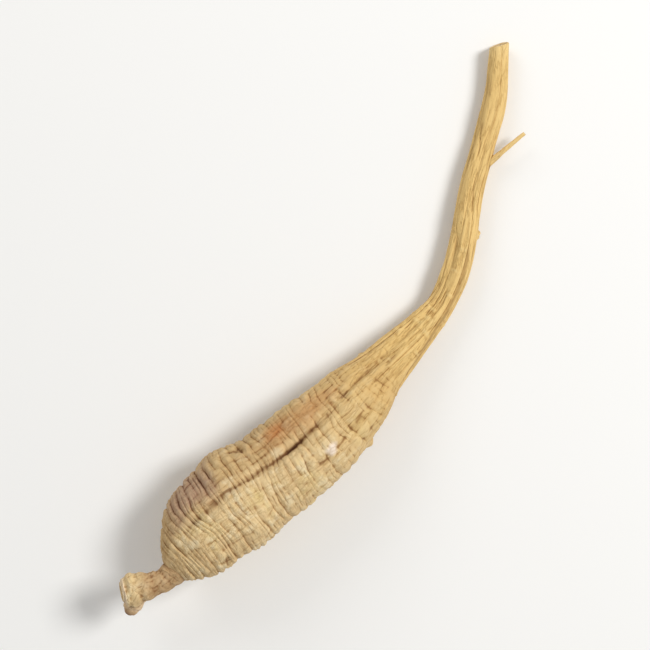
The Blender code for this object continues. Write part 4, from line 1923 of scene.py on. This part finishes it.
    def set_in_box(self, net: MeshNet) -> None:
        """Moves the skin so that its box has the same middle and floor as the solid's.

        Args:
            net: The joined mesh.
        """
        low, high = (np.array(corner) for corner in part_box(ROOT_NODE))
        points = net.vectors("co")
        shift = (low + high - points.min(0) - points.max(0)) / 2
        shift[2] = low[2] - points[:, 2].min()
        net.move_to(points + shift)

    def mark_relief(self, net: MeshNet) -> None:
        """Marks how far each point stands above or below the smoothed skin round it.

        The smoothed skin is the mean of the neighbours taken again and again. The height is the
        way from it to the point along the normal, as a share of a height that counts as full.

        Args:
            net: The joined mesh.
        """
        normals, points = net.vectors("normal"), net.vectors("co")
        smooth = points
        for step in range(1, self.broad_passes + 1):
            smooth = net.mean_beside(smooth)
            for name, passes, full in (
                ("fine", self.fine_passes, self.fine_height),
                ("broad", self.broad_passes, self.broad_height),
            ):
                if step == passes:
                    height = ((points - smooth) * normals).sum(1, keepdims=True) / MM / full
                    net.write(name, np.clip(height, -1, 1))


@dataclass(frozen=True)
class SoftLight:
    """A square soft light that faces the root.

    Attributes:
        name: The light's name.
        towards: Its direction from the root: to the picture's right, to its top, and overhead.
        size: Its width, in metres.
        watts: Its power.
        distance: How far off it is, in metres.
    """

    name: str
    towards: tuple[float, float, float]
    size: float
    watts: float
    distance: float = 0.5

    def add(self, right: Vector, up: Vector) -> None:
        """Adds the light to the scene.

        Args:
            right: The picture's right, as a direction on the table.
            up: The picture's up, as a direction on the table.
        """
        data = bpy.data.lights.new(self.name, "AREA")
        data.size, data.energy = self.size, self.watts
        lamp = bpy.data.objects.new(self.name, data)
        to_right, to_top, overhead = self.towards
        place = (right * to_right + up * to_top + Vector((0, 0, overhead))).normalized() * self.distance
        turn = (-place).to_track_quat("-Z", "Y").to_matrix().to_4x4()
        lamp.matrix_world = Matrix.Translation(place) @ turn
        bpy.context.scene.collection.objects.link(lamp)


@dataclass(frozen=True)
class Studio:
    """A pale table top, soft lights, and a camera that looks straight down on the root.

    Attributes:
        chord_degrees: How far the root's length is turned up from the picture's right.
        lens_mm: Focal length.
        sensor_mm: Width of the sensor.
        clip: Nearest and furthest that the camera sees, in metres.
        margin: Width of the picture as a share of the root's span.
        floor_size: Width of the table top, in metres, so wide that low views don't meet its edge.
        floor_gap: How far it is below the root, in metres.
        paper: Colour of the matt paper on it, which is a little off white and throws soft light up.
        paper_roughness: Roughness of uncoated paper.
        lights: The key light from the picture's right, and a weak fill from its left and top.
        surround: Colour of the light from all round.
        surround_strength: Its strength.
    """

    chord_degrees: float = 55.6
    lens_mm: float = 90.0
    sensor_mm: float = 36.0
    clip: Span = (0.01, 10.0)
    margin: float = 1.12
    floor_size: float = 16.0
    floor_gap: float = 0.00003
    paper: str = "#F3F2EF"
    paper_roughness: float = 0.9
    lights: tuple[SoftLight, ...] = (
        SoftLight("key", (0.80, 0.30, 0.95), 0.16, 1.68),
        SoftLight("fill", (-0.60, 0.80, 0.70), 0.25, 0.55),
    )
    surround: str = "#FFFFFF"
    surround_strength: float = 0.43

    def directions(self) -> tuple[Vector, Vector]:
        """The picture's right and its up, as directions on the table."""
        turn = math.radians(self.chord_degrees)
        return Vector((math.cos(turn), -math.sin(turn), 0)), Vector((math.sin(turn), math.cos(turn), 0))

    def floor(self) -> None:
        """Makes the table top, a pale matt sheet just under the root."""
        half, depth = self.floor_size / 2, -self.floor_gap
        mesh = bpy.data.meshes.new("table_top")
        corners = [(-half, -half, depth), (half, -half, depth), (half, half, depth), (-half, half, depth)]
        mesh.from_pydata(corners, [], [(0, 1, 2, 3)])
        floor = bpy.data.objects.new("table_top", mesh)
        bpy.context.scene.collection.objects.link(floor)
        material = bpy.data.materials.new("matt_paper")
        material.use_nodes = True
        shader = material.node_tree.nodes["Principled BSDF"]
        shader.inputs["Base Color"].default_value = linear(self.paper)
        shader.inputs["Roughness"].default_value = self.paper_roughness
        mesh.materials.append(material)

    def sky(self) -> None:
        """Sets the even light from all round, and shows the colours as they are, with no tone curve."""
        world = bpy.data.worlds.new("soft_surround")
        world.use_nodes = True
        background = world.node_tree.nodes["Background"]
        background.inputs["Color"].default_value = linear(self.surround)
        background.inputs["Strength"].default_value = self.surround_strength
        bpy.context.scene.world = world
        bpy.context.scene.view_settings.view_transform = "Standard"

    def camera(self, points: Array) -> None:
        """Adds the camera, square over the points, so that they fill the picture with a margin.

        It stands off their mid height by the span times the focal length over the sensor's width.

        Args:
            points: The skin's points, in metres.
        """
        right, up = self.directions()
        spans = [(float((points @ axis).min()), float((points @ axis).max())) for axis in (right, up)]
        middle = right * (sum(spans[0]) / 2) + up * (sum(spans[1]) / 2)
        span = max(high - low for low, high in spans) * self.margin
        data = bpy.data.cameras.new("camera")
        data.lens, data.sensor_width = self.lens_mm, self.sensor_mm
        data.clip_start, data.clip_end = self.clip
        camera = bpy.data.objects.new("camera", data)
        turn = Matrix((right, up, Vector((0, 0, 1)))).transposed().to_4x4()
        height = float(points[:, 2].max()) / 2 + span * self.lens_mm / self.sensor_mm
        camera.matrix_world = Matrix.Translation(middle + Vector((0, 0, height))) @ turn
        bpy.context.scene.collection.objects.link(camera)
        bpy.context.scene.camera = camera

    def build(self, points: Array) -> None:
        """Sets up the table, the lights, the surrounding light and the camera.

        Args:
            points: The skin's points, in metres.
        """
        self.floor()
        for light in self.lights:
            light.add(*self.directions())
        self.sky()
        self.camera(points)
        log.info("studio: %d lights, table top of %.0f m", len(self.lights), self.floor_size)


def main() -> None:
    """Builds the root's skin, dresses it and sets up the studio."""
    logging.basicConfig(level=logging.INFO, format="%(message)s")
    ginseng = GinsengSkin()
    skin = ginseng.build()
    ginseng.dress(skin)
    net = MeshNet(skin.data)
    log.info("%s: %d points, %d faces", skin.name, net.count, len(skin.data.polygons))
    Studio().build(net.vectors("co"))


if __name__ == "__main__":
    main()
